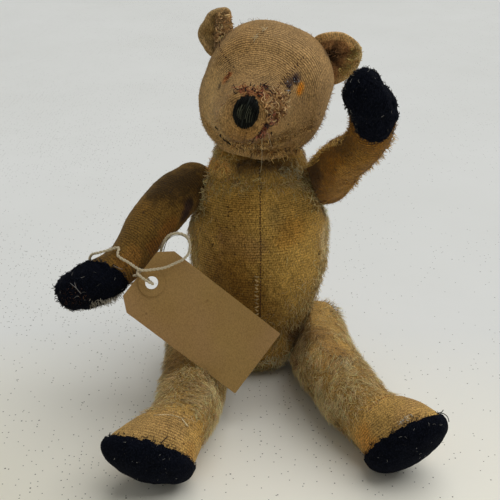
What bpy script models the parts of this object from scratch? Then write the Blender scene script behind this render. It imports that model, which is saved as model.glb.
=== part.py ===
"""Jointed teddy bear, worn nearly bald, with a card label tied to its right wrist.

Metres, +Z up. The bear sits on the plane z = 0 and faces -Y, so its own right side is at -X.
The origin is the middle of the flat patch that it sits on. Each limb is a sewn cover round packed
wood wool, and turns on a disc joint: two fibre discs, one each side of the two covers, held by a
split pin over steel washers.
"""

import math

import bmesh
import bpy
from mathutils import Matrix, Vector

MM = 0.001

# Cloth, felt and the gap that neighbouring pieces keep
COVER = 1.2 * MM
GAP = 0.3 * MM
PAD = 1.3 * MM
NOSE = 2.2 * MM
PILE_UNDER_LEG = 1.9 * MM
ROUND = 18
TURNED_STEPS = 14
FLOOR = Vector((0.0, 0.0, 0.0))
DOWN = Vector((0.0, 0.0, -1.0))

# Disc joints: where each one's middle lies, and how its axis leans
SHOULDER = Vector((27.3, 1.0, 96.3)) * MM
SHOULDER_LEAN = math.radians(20)
HIP = Vector((21.0, -8.0, 22.5)) * MM
HIP_LEAN = math.radians(-24)
NECK = Vector((2.5, -3.5, 115.0)) * MM
NECK_LEAN = math.radians(84)
JOINT_PLAY = 0.2 * MM
DISC_THICK = 2.0 * MM
WASHER_THICK = 0.8 * MM
SHOULDER_DISC = 5.6 * MM
HIP_DISC = 8.6 * MM
NECK_DISC = 7.6 * MM
WASHER_SHARE = 0.5
WIRE = 0.5 * MM
WIRE_APART = 0.55 * MM
EYE = 1.6 * MM
CURL = 1.0 * MM
PIN_HOLE = 1.17 * MM
COVER_HOLE = 1.5 * MM

# Head: centre, and how it is turned to its right, tipped up and rolled to its left
HEAD = Vector((3.5, -5.0, 144.5)) * MM
HEAD_TURN = math.radians(10)
HEAD_UP = math.radians(9)
HEAD_ROLL = math.radians(14)
HEAD_TAPER = 0.05
EAR_HALF = 11.2 * MM
EAR_TALL = 15.5 * MM
EAR_THICK = 3.2 * MM
EAR_CUP = 5.0 * MM
EARS = {
    "right": (Vector((-18.6, 1.0, 171.2)) * MM, Vector((0.28, 0.1, 0.95)), Vector((-0.47, -0.82, 0.24))),
    "left": (Vector((32.8, 2.0, 159.0)) * MM, Vector((-0.33, 0.1, 0.94)), Vector((0.92, -0.2, 0.34))),
}
NOSE_WIDE = 6.0 * MM
NOSE_TALL = 7.4 * MM

# Label: a strung card tag
CARD_LONG = 70.0 * MM
CARD_WIDE = 35.0 * MM
CARD_THICK = 0.5 * MM
CARD_CORNER = Vector((6.0, 5.0)) * MM
CARD_HOLE = 3.0 * MM
CARD_HOLE_IN = 6.6 * MM
PATCH_RADIUS = 6.2 * MM
PATCH_THICK = 0.3 * MM
STRING = 1.3 * MM

# Stations: x, y, z of the middle, then the half sizes across and through, in millimetres
TORSO = (
    (0, 0, 1, 17, 18),
    (0, -0.5, 7, 23, 25),
    (0, -0.5, 17, 27.5, 29),
    (0, 0, 30, 31, 30.5),
    (0, 1, 48, 33.5, 31),
    (0, 2, 66, 35, 31),
    (-0.5, 3, 82, 34.5, 29.5),
    (-1, 3, 95, 31.5, 26.5),
    (-1, 2, 105, 27.5, 22.5),
    (-0.5, 0, 113, 22, 18),
)
RIGHT_ARM = (
    (-32.5, 2, 96, 11, 11.5),
    (-39.5, -10, 92, 11, 11.5),
    (-48.5, -24, 85.5, 10.4, 10.8),
    (-57, -38, 78.5, 9.2, 9.4),
    (-66, -48, 73.5, 9.4, 9.6),
    (-77, -55.5, 69.5, 9.5, 10.3),
    (-86.5, -59, 67, 8, 8.6),
)
LEFT_ARM = (
    (33.9, 2, 97, 11.5, 11.5),
    (34.5, -12, 106.5, 11.5, 11.5),
    (37.5, -28, 118, 10.8, 10.8),
    (43.5, -43, 129, 9.3, 9.6),
    (46.5, -53, 140, 9.3, 10.6),
    (45, -59, 152.5, 9.3, 12),
    (41.5, -60.5, 161.5, 8, 9.6),
)
LEFT_LEG = (
    (30.2, -3, 18.3, 15.5, 15.5, 0, 0),
    (30.8, -22, 18.4, 16.5, 16.5, 0, 0),
    (35.5, -46, 18.0, 15.5, 16, 0, 0),
    (43, -69, 16.5, 14, 14.5, 0, 0),
    (48.5, -82.5, 15.5, 13.4, 13.4, 1, 0.05),
    (52.5, -91, 14.5, 16.2, 13.4, 4, 0.2),
    (56.3, -99.5, 13.8, 18.3, 13.2, 6, 0.35),
    (58.3, -104, 13.5, 18.6, 12.8, 6, 0.45),
)
RIGHT_LEG = (
    (-30.2, -3, 18.3, 15.5, 15.5, 0, 0),
    (-29.8, -25, 18.4, 16.5, 16.5, 0, 0),
    (-30.5, -50, 17.1, 15.5, 15.4, 0, 0),
    (-33, -75, 16.5, 14, 14.5, 0, 0),
    (-36, -90.5, 15.5, 13.4, 13.4, 1, 0.05),
    (-38.3, -99.5, 14.3, 16.2, 13.4, 4, 0.2),
    (-40.3, -108.5, 13.4, 18.8, 13.2, 6.5, 0.4),
    (-41.3, -113, 13.0, 19.3, 12.8, 7, 0.5),
)
FOOT_ROLL = {"left": math.radians(42), "right": math.radians(54)}

# Head stations: forwards from the centre, up, half width, half height
HEAD_FORM = (
    (-25, 0.5, 19, 20.5),
    (-17, 0.5, 26.5, 28),
    (-6, 0, 30.7, 32.5),
    (5, 0, 31, 32.5),
    (14, -0.5, 28.5, 29),
    (22, -2, 23.5, 23),
    (30, -3.5, 18.5, 17.5),
    (38, -4.5, 15, 14),
    (46, -5, 12, 11.5),
)
HEAD_CAPS = (7.5 * MM, 7.0 * MM)

# Label: the middle of its hole, and which way its length and its width run
CARD_PLACE = Vector((-49.1, -58.5, 71.0)) * MM
CARD_ALONG = Vector((0.759, -0.041, -0.650))
CARD_ACROSS = Vector((0.608, 0.404, 0.684))

# String, end to end: a slack loop, across the wrist, once round it, out over the card and through
# the hole, in millimetres
STRING_PATH = (
    (-46, -46, 80),
    (-44, -46.5, 85.5),
    (-41.5, -47, 89.3),
    (-37.4, -47.5, 90.6),
    (-33.6, -48, 89.3),
    (-31.9, -49, 85.8),
    (-32.4, -51, 82.4),
    (-34.6, -53.8, 80.6),
    (-38.6, -55.6, 79.2),
    (-43, -57.4, 78),
    (-48.3, -59, 77.8),
    (-53.6, -59.4, 77.9),
    (-59.2, -55.8, 79.7),
    (-64, -55, 82.8),
    (-64.2, -51.2, 85),
    (-69.4, -51.8, 83.9),
    (-73.2, -52.2, 83),
    (-77.2, -48.6, 80.2),
    (-79.2, -42.6, 73.4),
    (-75, -40.5, 66),
    (-68, -39, 62),
    (-60.5, -42.3, 62.3),
    (-55, -49, 67.5),
    (-54.9, -54.2, 75),
    (-54.8, -60.3, 76.3),
    (-51.4, -61.6, 73.9),
    (-48.5, -60.8, 71.6),
    (-49.7, -56.3, 70.2),
    (-53, -54.5, 72.2),
    (-57.2, -57.6, 74.2),
)
STRING_POINTS = 76


def clear_scene():
    for old in list(bpy.data.objects):
        bpy.data.objects.remove(old, do_unlink=True)


def new_collection(name, hidden=False):
    made = bpy.data.collections.new(name)
    made.hide_render = hidden
    bpy.context.scene.collection.children.link(made)
    return made


def principled(name, colour, roughness, metallic=0.0):
    material = bpy.data.materials.new(name)
    material.use_nodes = True
    shader = material.node_tree.nodes["Principled BSDF"]
    shader.inputs["Base Color"].default_value = (*colour, 1.0)
    shader.inputs["Roughness"].default_value = roughness
    shader.inputs["Metallic"].default_value = metallic
    return material


clear_scene()
PARTS = new_collection("threadbare_teddy_bear")
CUTTERS = new_collection("cutters", hidden=True)
BACKING = principled("worn_backing_cloth", (0.36, 0.25, 0.14), 0.95)
FELT = principled("black_felt", (0.012, 0.013, 0.02), 0.97)
WOOL = principled("wood_wool", (0.62, 0.48, 0.28), 0.9)
FIBRE = principled("fibre_board", (0.22, 0.13, 0.08), 0.8)
STEEL = principled("dull_steel", (0.45, 0.44, 0.42), 0.45, 1.0)
THREAD = principled("black_thread", (0.02, 0.02, 0.022), 0.8)
CARD = principled("buff_card", (0.55, 0.42, 0.26), 0.85)
TWINE = principled("cotton_string", (0.72, 0.66, 0.55), 0.9)


def body_empty(name, place):
    """The empty that a moving body's pieces are parented to, on the joint's axis."""
    empty = bpy.data.objects.new(name, None)
    empty.location = place
    empty.empty_display_size = 10 * MM
    PARTS.objects.link(empty)
    bpy.context.view_layer.update()
    return empty


def add_object(name, data, material, parent=None, collection=None):
    """A new object at the world's origin, kept there when it is parented."""
    made = bpy.data.objects.new(name, data)
    (collection or PARTS).objects.link(made)
    if material:
        data.materials.append(material)
    if parent:
        made.parent = parent
        made.matrix_parent_inverse = parent.matrix_world.inverted()
    return made


def mesh_object(name, bm, material, parent=None, collection=None):
    mesh = bpy.data.meshes.new(name)
    bm.to_mesh(mesh)
    bm.free()
    mesh.shade_smooth()
    mesh.set_sharp_from_angle(angle=math.radians(50))
    return add_object(name, mesh, material, parent, collection)


def as_cutter(obj):
    obj.hide_render = True
    obj.display_type = "WIRE"
    return obj


def boolean(obj, cutter, operation="DIFFERENCE"):
    modifier = obj.modifiers.new(cutter.name, "BOOLEAN")
    modifier.operation = operation
    modifier.solver = "EXACT"
    modifier.object = cutter
    return obj


def curve_value(values, at):
    """A number or vector read at a fractional index from the smooth curve through all the values."""
    i = min(int(at), len(values) - 2)
    t = at - i
    a, b = values[i], values[i + 1]
    before = values[i - 1] if i else a * 2 - b
    after = values[i + 2] if i + 2 < len(values) else b * 2 - a
    bend = before * 2 - a * 5 + b * 4 - after
    twist = a * 3 - before - b * 3 + after
    return (a * 2 + (b - before) * t + bend * t * t + twist * t ** 3) * 0.5


def ring(centre, across, through, half_across, half_through, taper=0.0):
    """Points of an oval about a centre, wider on the side that through points to by its taper."""
    points = []
    for k in range(ROUND):
        angle = 2 * math.pi * k / ROUND
        wide = half_across * math.cos(angle) * (1 + taper * math.sin(angle))
        points.append(centre + across * wide + through * (half_through * math.sin(angle)))
    return points


def cap(centre, outwards, across, through, half_across, half_through, depth, taper):
    """The shrinking ovals of a rounded end, and its tip."""
    rings = []
    for angle in (math.radians(28), math.radians(56)):
        middle = centre + outwards * (depth * math.sin(angle))
        share = math.cos(angle)
        sizes = half_across * share, half_through * share
        rings.append(ring(middle, across, through, *sizes, taper))
    return rings, centre + outwards * depth


def stuffed_form(stations, side, caps, steps, taper=0.0):
    """Rings of a stuffed shape along its stations.

    A station is a middle, the half sizes towards the side vector and across it, how far the oval is
    moved towards that side, and how much it droops. The caps are the depths of the rounded ends.
    """
    columns = list(zip(*stations))
    count = round((len(stations) - 1) * steps)
    rings = []
    ends = []
    for k in range(count + 1):
        at = (len(stations) - 1) * k / count
        middle, half_across, half_through, shift, droop = (
            curve_value(column, at) for column in columns
        )
        nudge = 0.05
        ahead = curve_value(columns[0], min(at + nudge, len(stations) - 1))
        behind = curve_value(columns[0], max(at - nudge, 0))
        along = ((ahead - behind).normalized() + DOWN * droop).normalized()
        across = (side - along * side.dot(along)).normalized()
        through = along.cross(across)
        middle = middle + across * shift
        rings.append(ring(middle, across, through, half_across, half_through, taper))
        if k in (0, count):
            ends.append((middle, along, across, through, half_across, half_through))
    first, last = ends
    start_rings, start_tip = cap(first[0], -first[1], *first[2:], caps[0], taper)
    end_rings, end_tip = cap(last[0], *last[1:], caps[1], taper)
    return {"rings": start_rings[::-1] + rings + end_rings, "tips": (start_tip, end_tip), "flats": []}


def surface(form, inset=0.0):
    """The form's closed skin, moved inwards by the inset and pressed flat where it meets something."""
    bm = bmesh.new()
    rings = [[bm.verts.new(point) for point in points] for points in form["rings"]]
    start, end = (bm.verts.new(tip) for tip in form["tips"])
    for k in range(ROUND):
        n = (k + 1) % ROUND
        bm.faces.new((start, rings[0][n], rings[0][k]))
        bm.faces.new((end, rings[-1][k], rings[-1][n]))
        for low, high in zip(rings, rings[1:]):
            bm.faces.new((low[k], low[n], high[n]))
            bm.faces.new((low[k], high[n], high[k]))
    bmesh.ops.recalc_face_normals(bm, faces=bm.faces)
    bm.normal_update()
    places = [vertex.co - vertex.normal * inset for vertex in bm.verts]
    for vertex, place in zip(bm.verts, places):
        for point, outwards in form["flats"]:
            beyond = (place - point).dot(outwards) + inset
            if beyond > 0:
                place = place - outwards * beyond
        vertex.co = place
    return bm


def between(form, outer_inset, inner_inset):
    """The hollow skin between two insets of a form, as one mesh."""
    outer = surface(form, outer_inset)
    inner = surface(form, inner_inset)
    bmesh.ops.reverse_faces(inner, faces=inner.faces)
    spare = bpy.data.meshes.new("inner_skin")
    inner.to_mesh(spare)
    outer.from_mesh(spare)
    inner.free()
    bpy.data.meshes.remove(spare)
    return outer


def turned(name, profile, material, place, axis, parent=None, collection=None):
    """A profile of (radius, height) points, top to bottom down its outer side, turned about an axis."""
    mesh = bpy.data.meshes.new(name)
    points = [(radius, 0.0, height) for radius, height in profile]
    edges = [(k, (k + 1) % len(points)) for k in range(len(points))]
    if min(radius for radius, height in profile) == 0:
        edges.pop()
    mesh.from_pydata(points, edges, [])
    made = add_object(name, mesh, material, None, collection)
    screw = made.modifiers.new("turn", "SCREW")
    screw.steps = TURNED_STEPS
    screw.render_steps = TURNED_STEPS
    screw.use_merge_vertices = True
    screw.merge_threshold = 0.00001
    turn = Vector((0, 0, 1)).rotation_difference(axis).to_matrix().to_4x4()
    made.matrix_world = Matrix.Translation(place) @ turn
    if parent:
        made.parent = parent
        made.matrix_parent_inverse = parent.matrix_world.inverted()
    return made


def tube(name, points, radius, material, parent=None, resolution=1):
    """A wire or string: a bevelled curve with closed ends through the points."""
    data = bpy.data.curves.new(name, "CURVE")
    data.dimensions = "3D"
    data.bevel_depth = radius
    data.bevel_resolution = resolution
    data.use_fill_caps = True
    spline = data.splines.new("POLY")
    spline.points.add(len(points) - 1)
    for target, point in zip(spline.points, points):
        target.co = (*point, 1.0)
    return add_object(name, data, material, parent)


class Joint:
    """A disc joint. Its axis points out of the torso into the piece that turns."""

    def __init__(self, name, place, axis, disc):
        self.name = name
        self.place = place
        self.axis = axis
        self.disc = disc
        self.washer = disc * WASHER_SHARE
        self.empty = body_empty(name + "_axis", place)
        self.disc_at = JOINT_PLAY + COVER + GAP
        self.washer_at = self.disc_at + DISC_THICK + GAP
        self.wire_at = self.washer_at + WASHER_THICK + GAP

    def flat(self, way):
        """Where a cover is pressed flat: way is 1 on the piece that turns, -1 on the torso."""
        return self.place + self.axis * (way * JOINT_PLAY), self.axis * -way

    def disc_and_washer(self, label, way, parent):
        """One side's disc and washer, in their order from the cover inwards."""
        for part, start, thick, radius, material in (
            ("disc", self.disc_at, DISC_THICK, self.disc, FIBRE),
            ("washer", self.washer_at, WASHER_THICK, self.washer, STEEL),
        ):
            profile = (
                (radius, start + thick),
                (radius, start),
                (PIN_HOLE, start),
                (PIN_HOLE, start + thick),
            )
            name = f"{self.name}_{label}_{part}"
            turned(name, profile, material, self.place, self.axis * way, parent)

    def pin(self):
        """A split pin: one wire from a curled end, through, round its eye and back to the other."""
        away = self.axis.orthogonal().normalized()
        deep = -self.wire_at
        points = [
            (WIRE_APART + CURL * (1 - math.cos(a)), deep - CURL * math.sin(a))
            for a in (math.radians(170), math.radians(125), math.radians(80), math.radians(40), 0.0)
        ]
        points.append((WIRE_APART, self.wire_at))
        eye_middle = self.wire_at + EYE + WIRE
        for degrees in range(-50, 231, 40):
            angle = math.radians(degrees)
            points.append((EYE * math.cos(angle), eye_middle + EYE * math.sin(angle)))
        mirrored = [(-x, z) for x, z in points[:6]][::-1]
        route = [self.place + away * x + self.axis * z for x, z in points + mirrored]
        tube(self.name + "_pin", route, WIRE, STEEL, self.empty)

    def pin_hole(self):
        """Cutter for the hole that the pin takes through both covers."""
        reach = self.disc_at
        profile = ((0.0, reach), (COVER_HOLE, reach), (COVER_HOLE, -reach), (0.0, -reach))
        name = self.name + "_hole_cutter"
        return as_cutter(turned(name, profile, None, self.place, self.axis, None, CUTTERS))

    def recess(self, label, way):
        """Cutter for the room that a disc, its washer and the wire's end take in the stuffing."""
        wide = self.disc + GAP
        deep = self.washer_at
        narrow = self.washer + GAP
        end = self.wire_at + 2 * EYE + 2 * WIRE + 2 * GAP
        profile = ((0.0, end), (narrow, end), (narrow, deep), (wide, deep), (wide, 0.0), (0.0, 0.0))
        name = f"{self.name}_{label}_recess_cutter"
        return as_cutter(
            turned(name, profile, None, self.place, self.axis * way, None, CUTTERS)
        )


def cover(name, form, joints, parent=None):
    """A sewn cover, with the holes that its joints' pins go through."""
    made = mesh_object(name, between(form, 0.0, COVER), BACKING, parent)
    for joint in joints:
        boolean(made, joint.pin_hole_cutter)
    return made


def stuffing(name, form, recesses, parent=None):
    """Packed wood wool inside a cover, hollowed where the joint's hardware sits."""
    made = mesh_object(name, surface(form, COVER + GAP), WOOL, parent)
    for cutter in recesses:
        boolean(made, cutter)
    return made


def patch(name, form, thick, region, material, parent):
    """A piece that lies on a form's cover and follows it, inside a cutter's region."""
    made = mesh_object(name, between(form, -GAP - thick, -GAP), material, parent)
    return boolean(made, region, "INTERSECT")


def ellipsoid_cutter(name, place, half_sizes, turn):
    """A ball stretched to its half sizes and turned, which bounds a patch."""
    bm = bmesh.new()
    bmesh.ops.create_uvsphere(bm, u_segments=24, v_segments=16, radius=1.0)
    stretch = Matrix.Diagonal((*half_sizes, 1.0))
    bm.transform(Matrix.Translation(place) @ turn.to_4x4() @ stretch)
    return as_cutter(mesh_object(name, bm, None, None, CUTTERS))


def facing(outwards, up):
    """A rotation whose Z points outwards and whose Y is as near up as it can be."""
    z = outwards.normalized()
    x = up.cross(z).normalized()
    return Matrix((x, z.cross(x), z)).transposed()


def leaning_axis(lean, way):
    return Vector((way * math.cos(lean), 0.0, math.sin(lean)))


def stations_of(table):
    """A table in millimetres as stations in metres."""
    stations = []
    for x, y, z, half_across, half_through, *foot in table:
        shift, droop = foot or (0.0, 0.0)
        middle = Vector((x, y, z)) * MM
        stations.append((middle, half_across * MM, half_through * MM, shift * MM, droop))
    return stations


def head_axes():
    """Unit vectors that point out of the head's right ear side, its face and its top."""
    turn = (
        Matrix.Rotation(-HEAD_TURN, 3, "Z")
        @ Matrix.Rotation(-HEAD_UP, 3, "X")
        @ Matrix.Rotation(HEAD_ROLL, 3, "Y")
    )
    return turn @ Vector((1, 0, 0)), turn @ Vector((0, -1, 0)), turn @ Vector((0, 0, 1))


def build_joints():
    joints = {
        "neck": Joint("neck", NECK, leaning_axis(NECK_LEAN, 1), NECK_DISC),
    }
    for side, way in (("left", 1), ("right", -1)):
        for part, place, lean, disc in (
            ("shoulder", SHOULDER, SHOULDER_LEAN, SHOULDER_DISC),
            ("hip", HIP, HIP_LEAN, HIP_DISC),
        ):
            name = f"{side}_{part}"
            middle = Vector((place.x * way, place.y, place.z))
            joints[name] = Joint(name, middle, leaning_axis(lean, way), disc)
    for joint in joints.values():
        joint.pin_hole_cutter = joint.pin_hole()
    return joints


def build_torso(joints):
    form = stuffed_form(stations_of(TORSO), Vector((1, 0, 0)), (6 * MM, 8 * MM), 1.4)
    form["flats"] = [joint.flat(-1) for joint in joints.values()] + [(FLOOR, DOWN)]
    cover("torso_cover", form, joints.values())
    recesses = [joint.recess("torso", -1) for joint in joints.values()]
    stuffing("torso_stuffing", form, recesses)
    for joint in joints.values():
        joint.disc_and_washer("torso", -1, None)
    return form


def limb_hardware(joint, label):
    joint.disc_and_washer(label, 1, joint.empty)
    joint.pin()


def build_head(joint):
    right, face, top = head_axes()
    stations = [
        (HEAD + (face * forward + top * up) * MM, wide * MM, tall * MM, 0.0, 0.0)
        for forward, up, wide, tall in HEAD_FORM
    ]
    form = stuffed_form(stations, right, HEAD_CAPS, 1.4, -HEAD_TAPER)
    form["flats"] = [joint.flat(1)]
    cover("head_cover", form, [joint], joint.empty)
    stuffing("head_stuffing", form, [joint.recess("head", 1)], joint.empty)
    limb_hardware(joint, "head")
    keep_off = as_cutter(mesh_object("head_cutter", surface(form, -GAP), None, None, CUTTERS))
    for side, way in (("right", -1), ("left", 1)):
        build_ear(side, way, keep_off, joint.empty)
    tip = HEAD + face * (50 * MM) + top * (-3.2 * MM)
    sizes = (NOSE_WIDE, NOSE_TALL, 12 * MM)
    region = ellipsoid_cutter("nose_cutter", tip, sizes, facing(face, top))
    patch("nose_stitching", form, NOSE, region, THREAD, joint.empty)
    return form


def build_ear(side, way, keep_off, parent):
    """A cupped half oval, sewn to the head along its straight edge."""
    base, along, out = EARS[side]
    along = along.normalized()
    ahead = out.cross(along).normalized() * way
    out = along.cross(ahead).normalized() * way
    bm = bmesh.new()
    rows = []
    for share in (0.0, 0.35, 0.7, 1.0):
        row = []
        for k in range(13):
            angle = math.pi * (k / 12 * 1.24 - 0.12)
            spot = along * (EAR_HALF * math.cos(angle)) + out * (EAR_TALL * math.sin(angle))
            cup = EAR_CUP * share * share * (0.35 + 0.65 * math.cos(angle) ** 2)
            row.append(base + spot * share + ahead * cup)
        rows.append([bm.verts.new(point) for point in row] if share else [bm.verts.new(row[0])])
    for k in range(12):
        bm.faces.new((rows[0][0], rows[1][k], rows[1][k + 1]))
        for low, high in zip(rows[1:], rows[2:]):
            bm.faces.new((low[k], high[k], high[k + 1], low[k + 1]))
    made = mesh_object(side + "_ear", bm, BACKING, parent)
    thick = made.modifiers.new("two_layers", "SOLIDIFY")
    thick.thickness = EAR_THICK
    thick.offset = 0.0
    boolean(made, keep_off)


def build_arm(side, table, joint, pad_place, pad_sizes, pad_facing, pad_up):
    name = side + "_arm"
    form = stuffed_form(stations_of(table), Vector((0, -1, 0)), (9 * MM, 7 * MM), 1.5)
    form["flats"] = [joint.flat(1)]
    cover(name + "_cover", form, [joint], joint.empty)
    stuffing(name + "_stuffing", form, [joint.recess("arm", 1)], joint.empty)
    limb_hardware(joint, "arm")
    turn = facing(Vector(pad_facing), Vector(pad_up))
    sizes = [size * MM for size in pad_sizes]
    region = ellipsoid_cutter(name + "_pad_cutter", Vector(pad_place) * MM, sizes, turn)
    patch(side + "_paw_pad", form, PAD, region, FELT, joint.empty)
    return form


def build_leg(side, way, table, joint):
    name = side + "_leg"
    stations = stations_of(table)
    along = (stations[-3][0] - stations[-5][0]).normalized()
    level = Vector((-along.y * way, along.x * way, 0)).normalized()
    roll = FOOT_ROLL[side]
    toes = Vector((0, 0, 1)) * math.cos(roll) + level * math.sin(roll)
    form = stuffed_form(stations, toes, (9 * MM, 8 * MM), 1.3)
    form["flats"] = [joint.flat(1), (FLOOR + Vector((0, 0, PILE_UNDER_LEG)), DOWN)]
    cover(name + "_cover", form, [joint], joint.empty)
    stuffing(name + "_stuffing", form, [joint.recess("leg", 1)], joint.empty)
    limb_hardware(joint, "leg")
    sole = stations[-1][0]
    spine = (stations[-1][0] - stations[-2][0]).normalized()
    outwards = (spine + DOWN * stations[-1][4]).normalized()
    sizes = (30 * MM, 30 * MM, 10 * MM)
    region = slab_cutter(name + "_sole_cutter", sole, sizes, facing(outwards, toes))
    patch(side + "_sole_pad", form, PAD, region, FELT, joint.empty)
    return form


def label_matrix():
    """Takes the label's own frame, with its hole at the middle, to where it hangs."""
    along = CARD_ALONG.normalized()
    face = along.cross(CARD_ACROSS).normalized()
    turn = Matrix((along, face.cross(along), face)).transposed().to_4x4()
    return Matrix.Translation(CARD_PLACE) @ turn


def flat_outline(name, outlines, thick, material, parent):
    """A flat sheet: closed outlines, where an outline inside another is a hole."""
    data = bpy.data.curves.new(name, "CURVE")
    data.dimensions = "2D"
    data.fill_mode = "BOTH"
    data.extrude = thick / 2
    for outline in outlines:
        spline = data.splines.new("POLY")
        spline.points.add(len(outline) - 1)
        spline.use_cyclic_u = True
        for target, (x, y) in zip(spline.points, outline):
            target.co = (x, y, 0.0, 1.0)
    made = bpy.data.objects.new(name, data)
    PARTS.objects.link(made)
    data.materials.append(material)
    made.parent = parent
    made.matrix_parent_inverse = parent.matrix_world.inverted()
    return made


def circle(radius, count):
    turns = [2 * math.pi * k / count for k in range(count)]
    return [(radius * math.cos(a), radius * math.sin(a)) for a in turns]


def build_label(parent):
    near = -CARD_HOLE_IN
    far = CARD_LONG - CARD_HOLE_IN
    half = CARD_WIDE / 2
    corner = CARD_CORNER
    half_outline = [(near, corner.y - half), (near + corner.x, -half), (far, -half)]
    outline = half_outline + [(x, -y) for x, y in reversed(half_outline)]
    place = label_matrix()
    card = flat_outline(
        "label_card", [outline, circle(CARD_HOLE, 20)], CARD_THICK, CARD, parent
    )
    card.matrix_world = place
    washer = flat_outline(
        "label_washer", [circle(PATCH_RADIUS, 24), circle(CARD_HOLE, 20)], PATCH_THICK, CARD, parent
    )
    lift = (CARD_THICK + PATCH_THICK) / 2 + GAP
    washer.matrix_world = place @ Matrix.Translation((0, 0, lift))
    path = [Vector(point) * MM for point in STRING_PATH]
    step = (len(path) - 1) / (STRING_POINTS - 1)
    points = [curve_value(path, k * step) for k in range(STRING_POINTS)]
    tube("label_string", points, STRING / 2, TWINE, parent, 2)


def slab_cutter(name, place, half_sizes, turn):
    """A block that starts just behind a place and reaches past it along its own Z."""
    bm = bmesh.new()
    bmesh.ops.create_cube(bm, size=2.0)
    stretch = Matrix.Diagonal((*half_sizes, 1.0))
    ahead = Matrix.Translation((0, 0, 0.8))
    bm.transform(Matrix.Translation(place) @ turn.to_4x4() @ stretch @ ahead)
    return as_cutter(mesh_object(name, bm, None, None, CUTTERS))


def main():
    joints = build_joints()
    build_torso(joints)
    build_head(joints["neck"])
    build_arm(
        "right", RIGHT_ARM, joints["right_shoulder"],
        (-74.5, -64, 71.5), (20.5, 12, 10), (0.1, -0.9, 0.35), (0.35, 0.2, 0.9),
    )
    build_arm(
        "left", LEFT_ARM, joints["left_shoulder"],
        (45.5, -66, 154), (12.5, 18, 9), (-0.1, -0.98, 0.15), (-0.35, 0.0, 0.93),
    )
    build_label(joints["right_shoulder"].empty)
    build_leg("left", 1, LEFT_LEG, joints["left_hip"])
    build_leg("right", -1, RIGHT_LEG, joints["right_hip"])


main()
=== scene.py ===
"""Jointed teddy bear, worn nearly bald, with a card label tied to its right wrist.

Metres, +Z up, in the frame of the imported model. The bear sits on z = 0 and faces -Y, so its own
right side is at -X. Each limb is a sewn cover of ribbed backing cloth with what is left of its
mohair pile, and turns on a disc joint.
"""

import math

import bmesh
import bpy
import numpy as np
from mathutils import Matrix, Vector
from mathutils.bvhtree import BVHTree


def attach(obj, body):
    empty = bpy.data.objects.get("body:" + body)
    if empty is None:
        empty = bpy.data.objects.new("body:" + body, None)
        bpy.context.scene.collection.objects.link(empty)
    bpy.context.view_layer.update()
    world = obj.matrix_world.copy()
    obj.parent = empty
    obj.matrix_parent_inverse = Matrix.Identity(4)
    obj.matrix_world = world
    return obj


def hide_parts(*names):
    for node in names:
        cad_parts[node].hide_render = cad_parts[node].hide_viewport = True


bl_info = {
    "name": "Threadbare Teddy Bear",
    "version": (1, 0, 0),
    "blender": (4, 5, 0),
    "location": "View3D > Sidebar > Teddy Bear",
    "description": "Makes the cloth, pile, felt, stitches and label of a worn jointed teddy bear",
    "category": "Add Mesh",
}

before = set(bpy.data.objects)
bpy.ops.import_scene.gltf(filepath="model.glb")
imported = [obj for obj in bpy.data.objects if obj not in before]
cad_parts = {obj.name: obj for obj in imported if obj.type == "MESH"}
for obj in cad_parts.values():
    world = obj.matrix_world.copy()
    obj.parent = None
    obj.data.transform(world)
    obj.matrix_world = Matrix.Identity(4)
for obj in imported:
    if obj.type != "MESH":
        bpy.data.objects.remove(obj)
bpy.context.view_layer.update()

MM = 0.001
DOWN = np.array((0.0, 0.0, -1.0))
JOINT_PLAY = 0.2 * MM
PILE_UNDER_LEG = 1.9 * MM
CAP_ROWS = 17
RING = 24
MUZZLE_AHEAD = 50
PADS_FROM = 0.4
RAY_START = 12 * MM
STRING_STEP = 0.33 * MM
STRING_TWIST = 3.4 * MM
CLOTH_SLOT = "worn_backing_cloth"
THREAD_SLOT = "black_thread"
FELT_SLOT = "black_felt"

# Camera: where it looks, from how far and how steeply down, and how wide it sees
LOOK_AT = Vector((-4.6, 0.0, 60.0)) * MM
LOOK_FROM = 460 * MM
LOOK_DOWN = math.radians(25)
# The view's half width over the distance that it is seen from gives the angle
FIELD_OF_VIEW = 2 * math.atan(25 / 89)



def joint_axis(side, degrees):
    """A joint's axis, out of the torso: side is 1 at the bear's left, and degrees is its rise."""
    return side * math.cos(math.radians(degrees)), 0, math.sin(math.radians(degrees))


# Disc joints: the middle, in millimetres, and the axis
JOINTS = {
    "neck": ((2.5, -3.5, 115.0), joint_axis(1, 84)),
    "left_shoulder": ((27.3, 1.0, 96.3), joint_axis(1, 20)),
    "right_shoulder": ((-27.3, 1.0, 96.3), joint_axis(-1, 20)),
    "left_hip": ((21.0, -8.0, 22.5), joint_axis(1, -24)),
    "right_hip": ((-21.0, -8.0, 22.5), joint_axis(-1, -24)),
}

# Stations: x, y, z of the middle, then the half sizes across and through, in millimetres
TORSO = (
    (0, 0, 1, 17, 18),
    (0, -0.5, 7, 23, 25),
    (0, -0.5, 17, 27.5, 29),
    (0, 0, 30, 31, 30.5),
    (0, 1, 48, 33.5, 31),
    (0, 2, 66, 35, 31),
    (-0.5, 3, 82, 34.5, 29.5),
    (-1, 3, 95, 31.5, 26.5),
    (-1, 2, 105, 27.5, 22.5),
    (-0.5, 0, 113, 22, 18),
)
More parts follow.
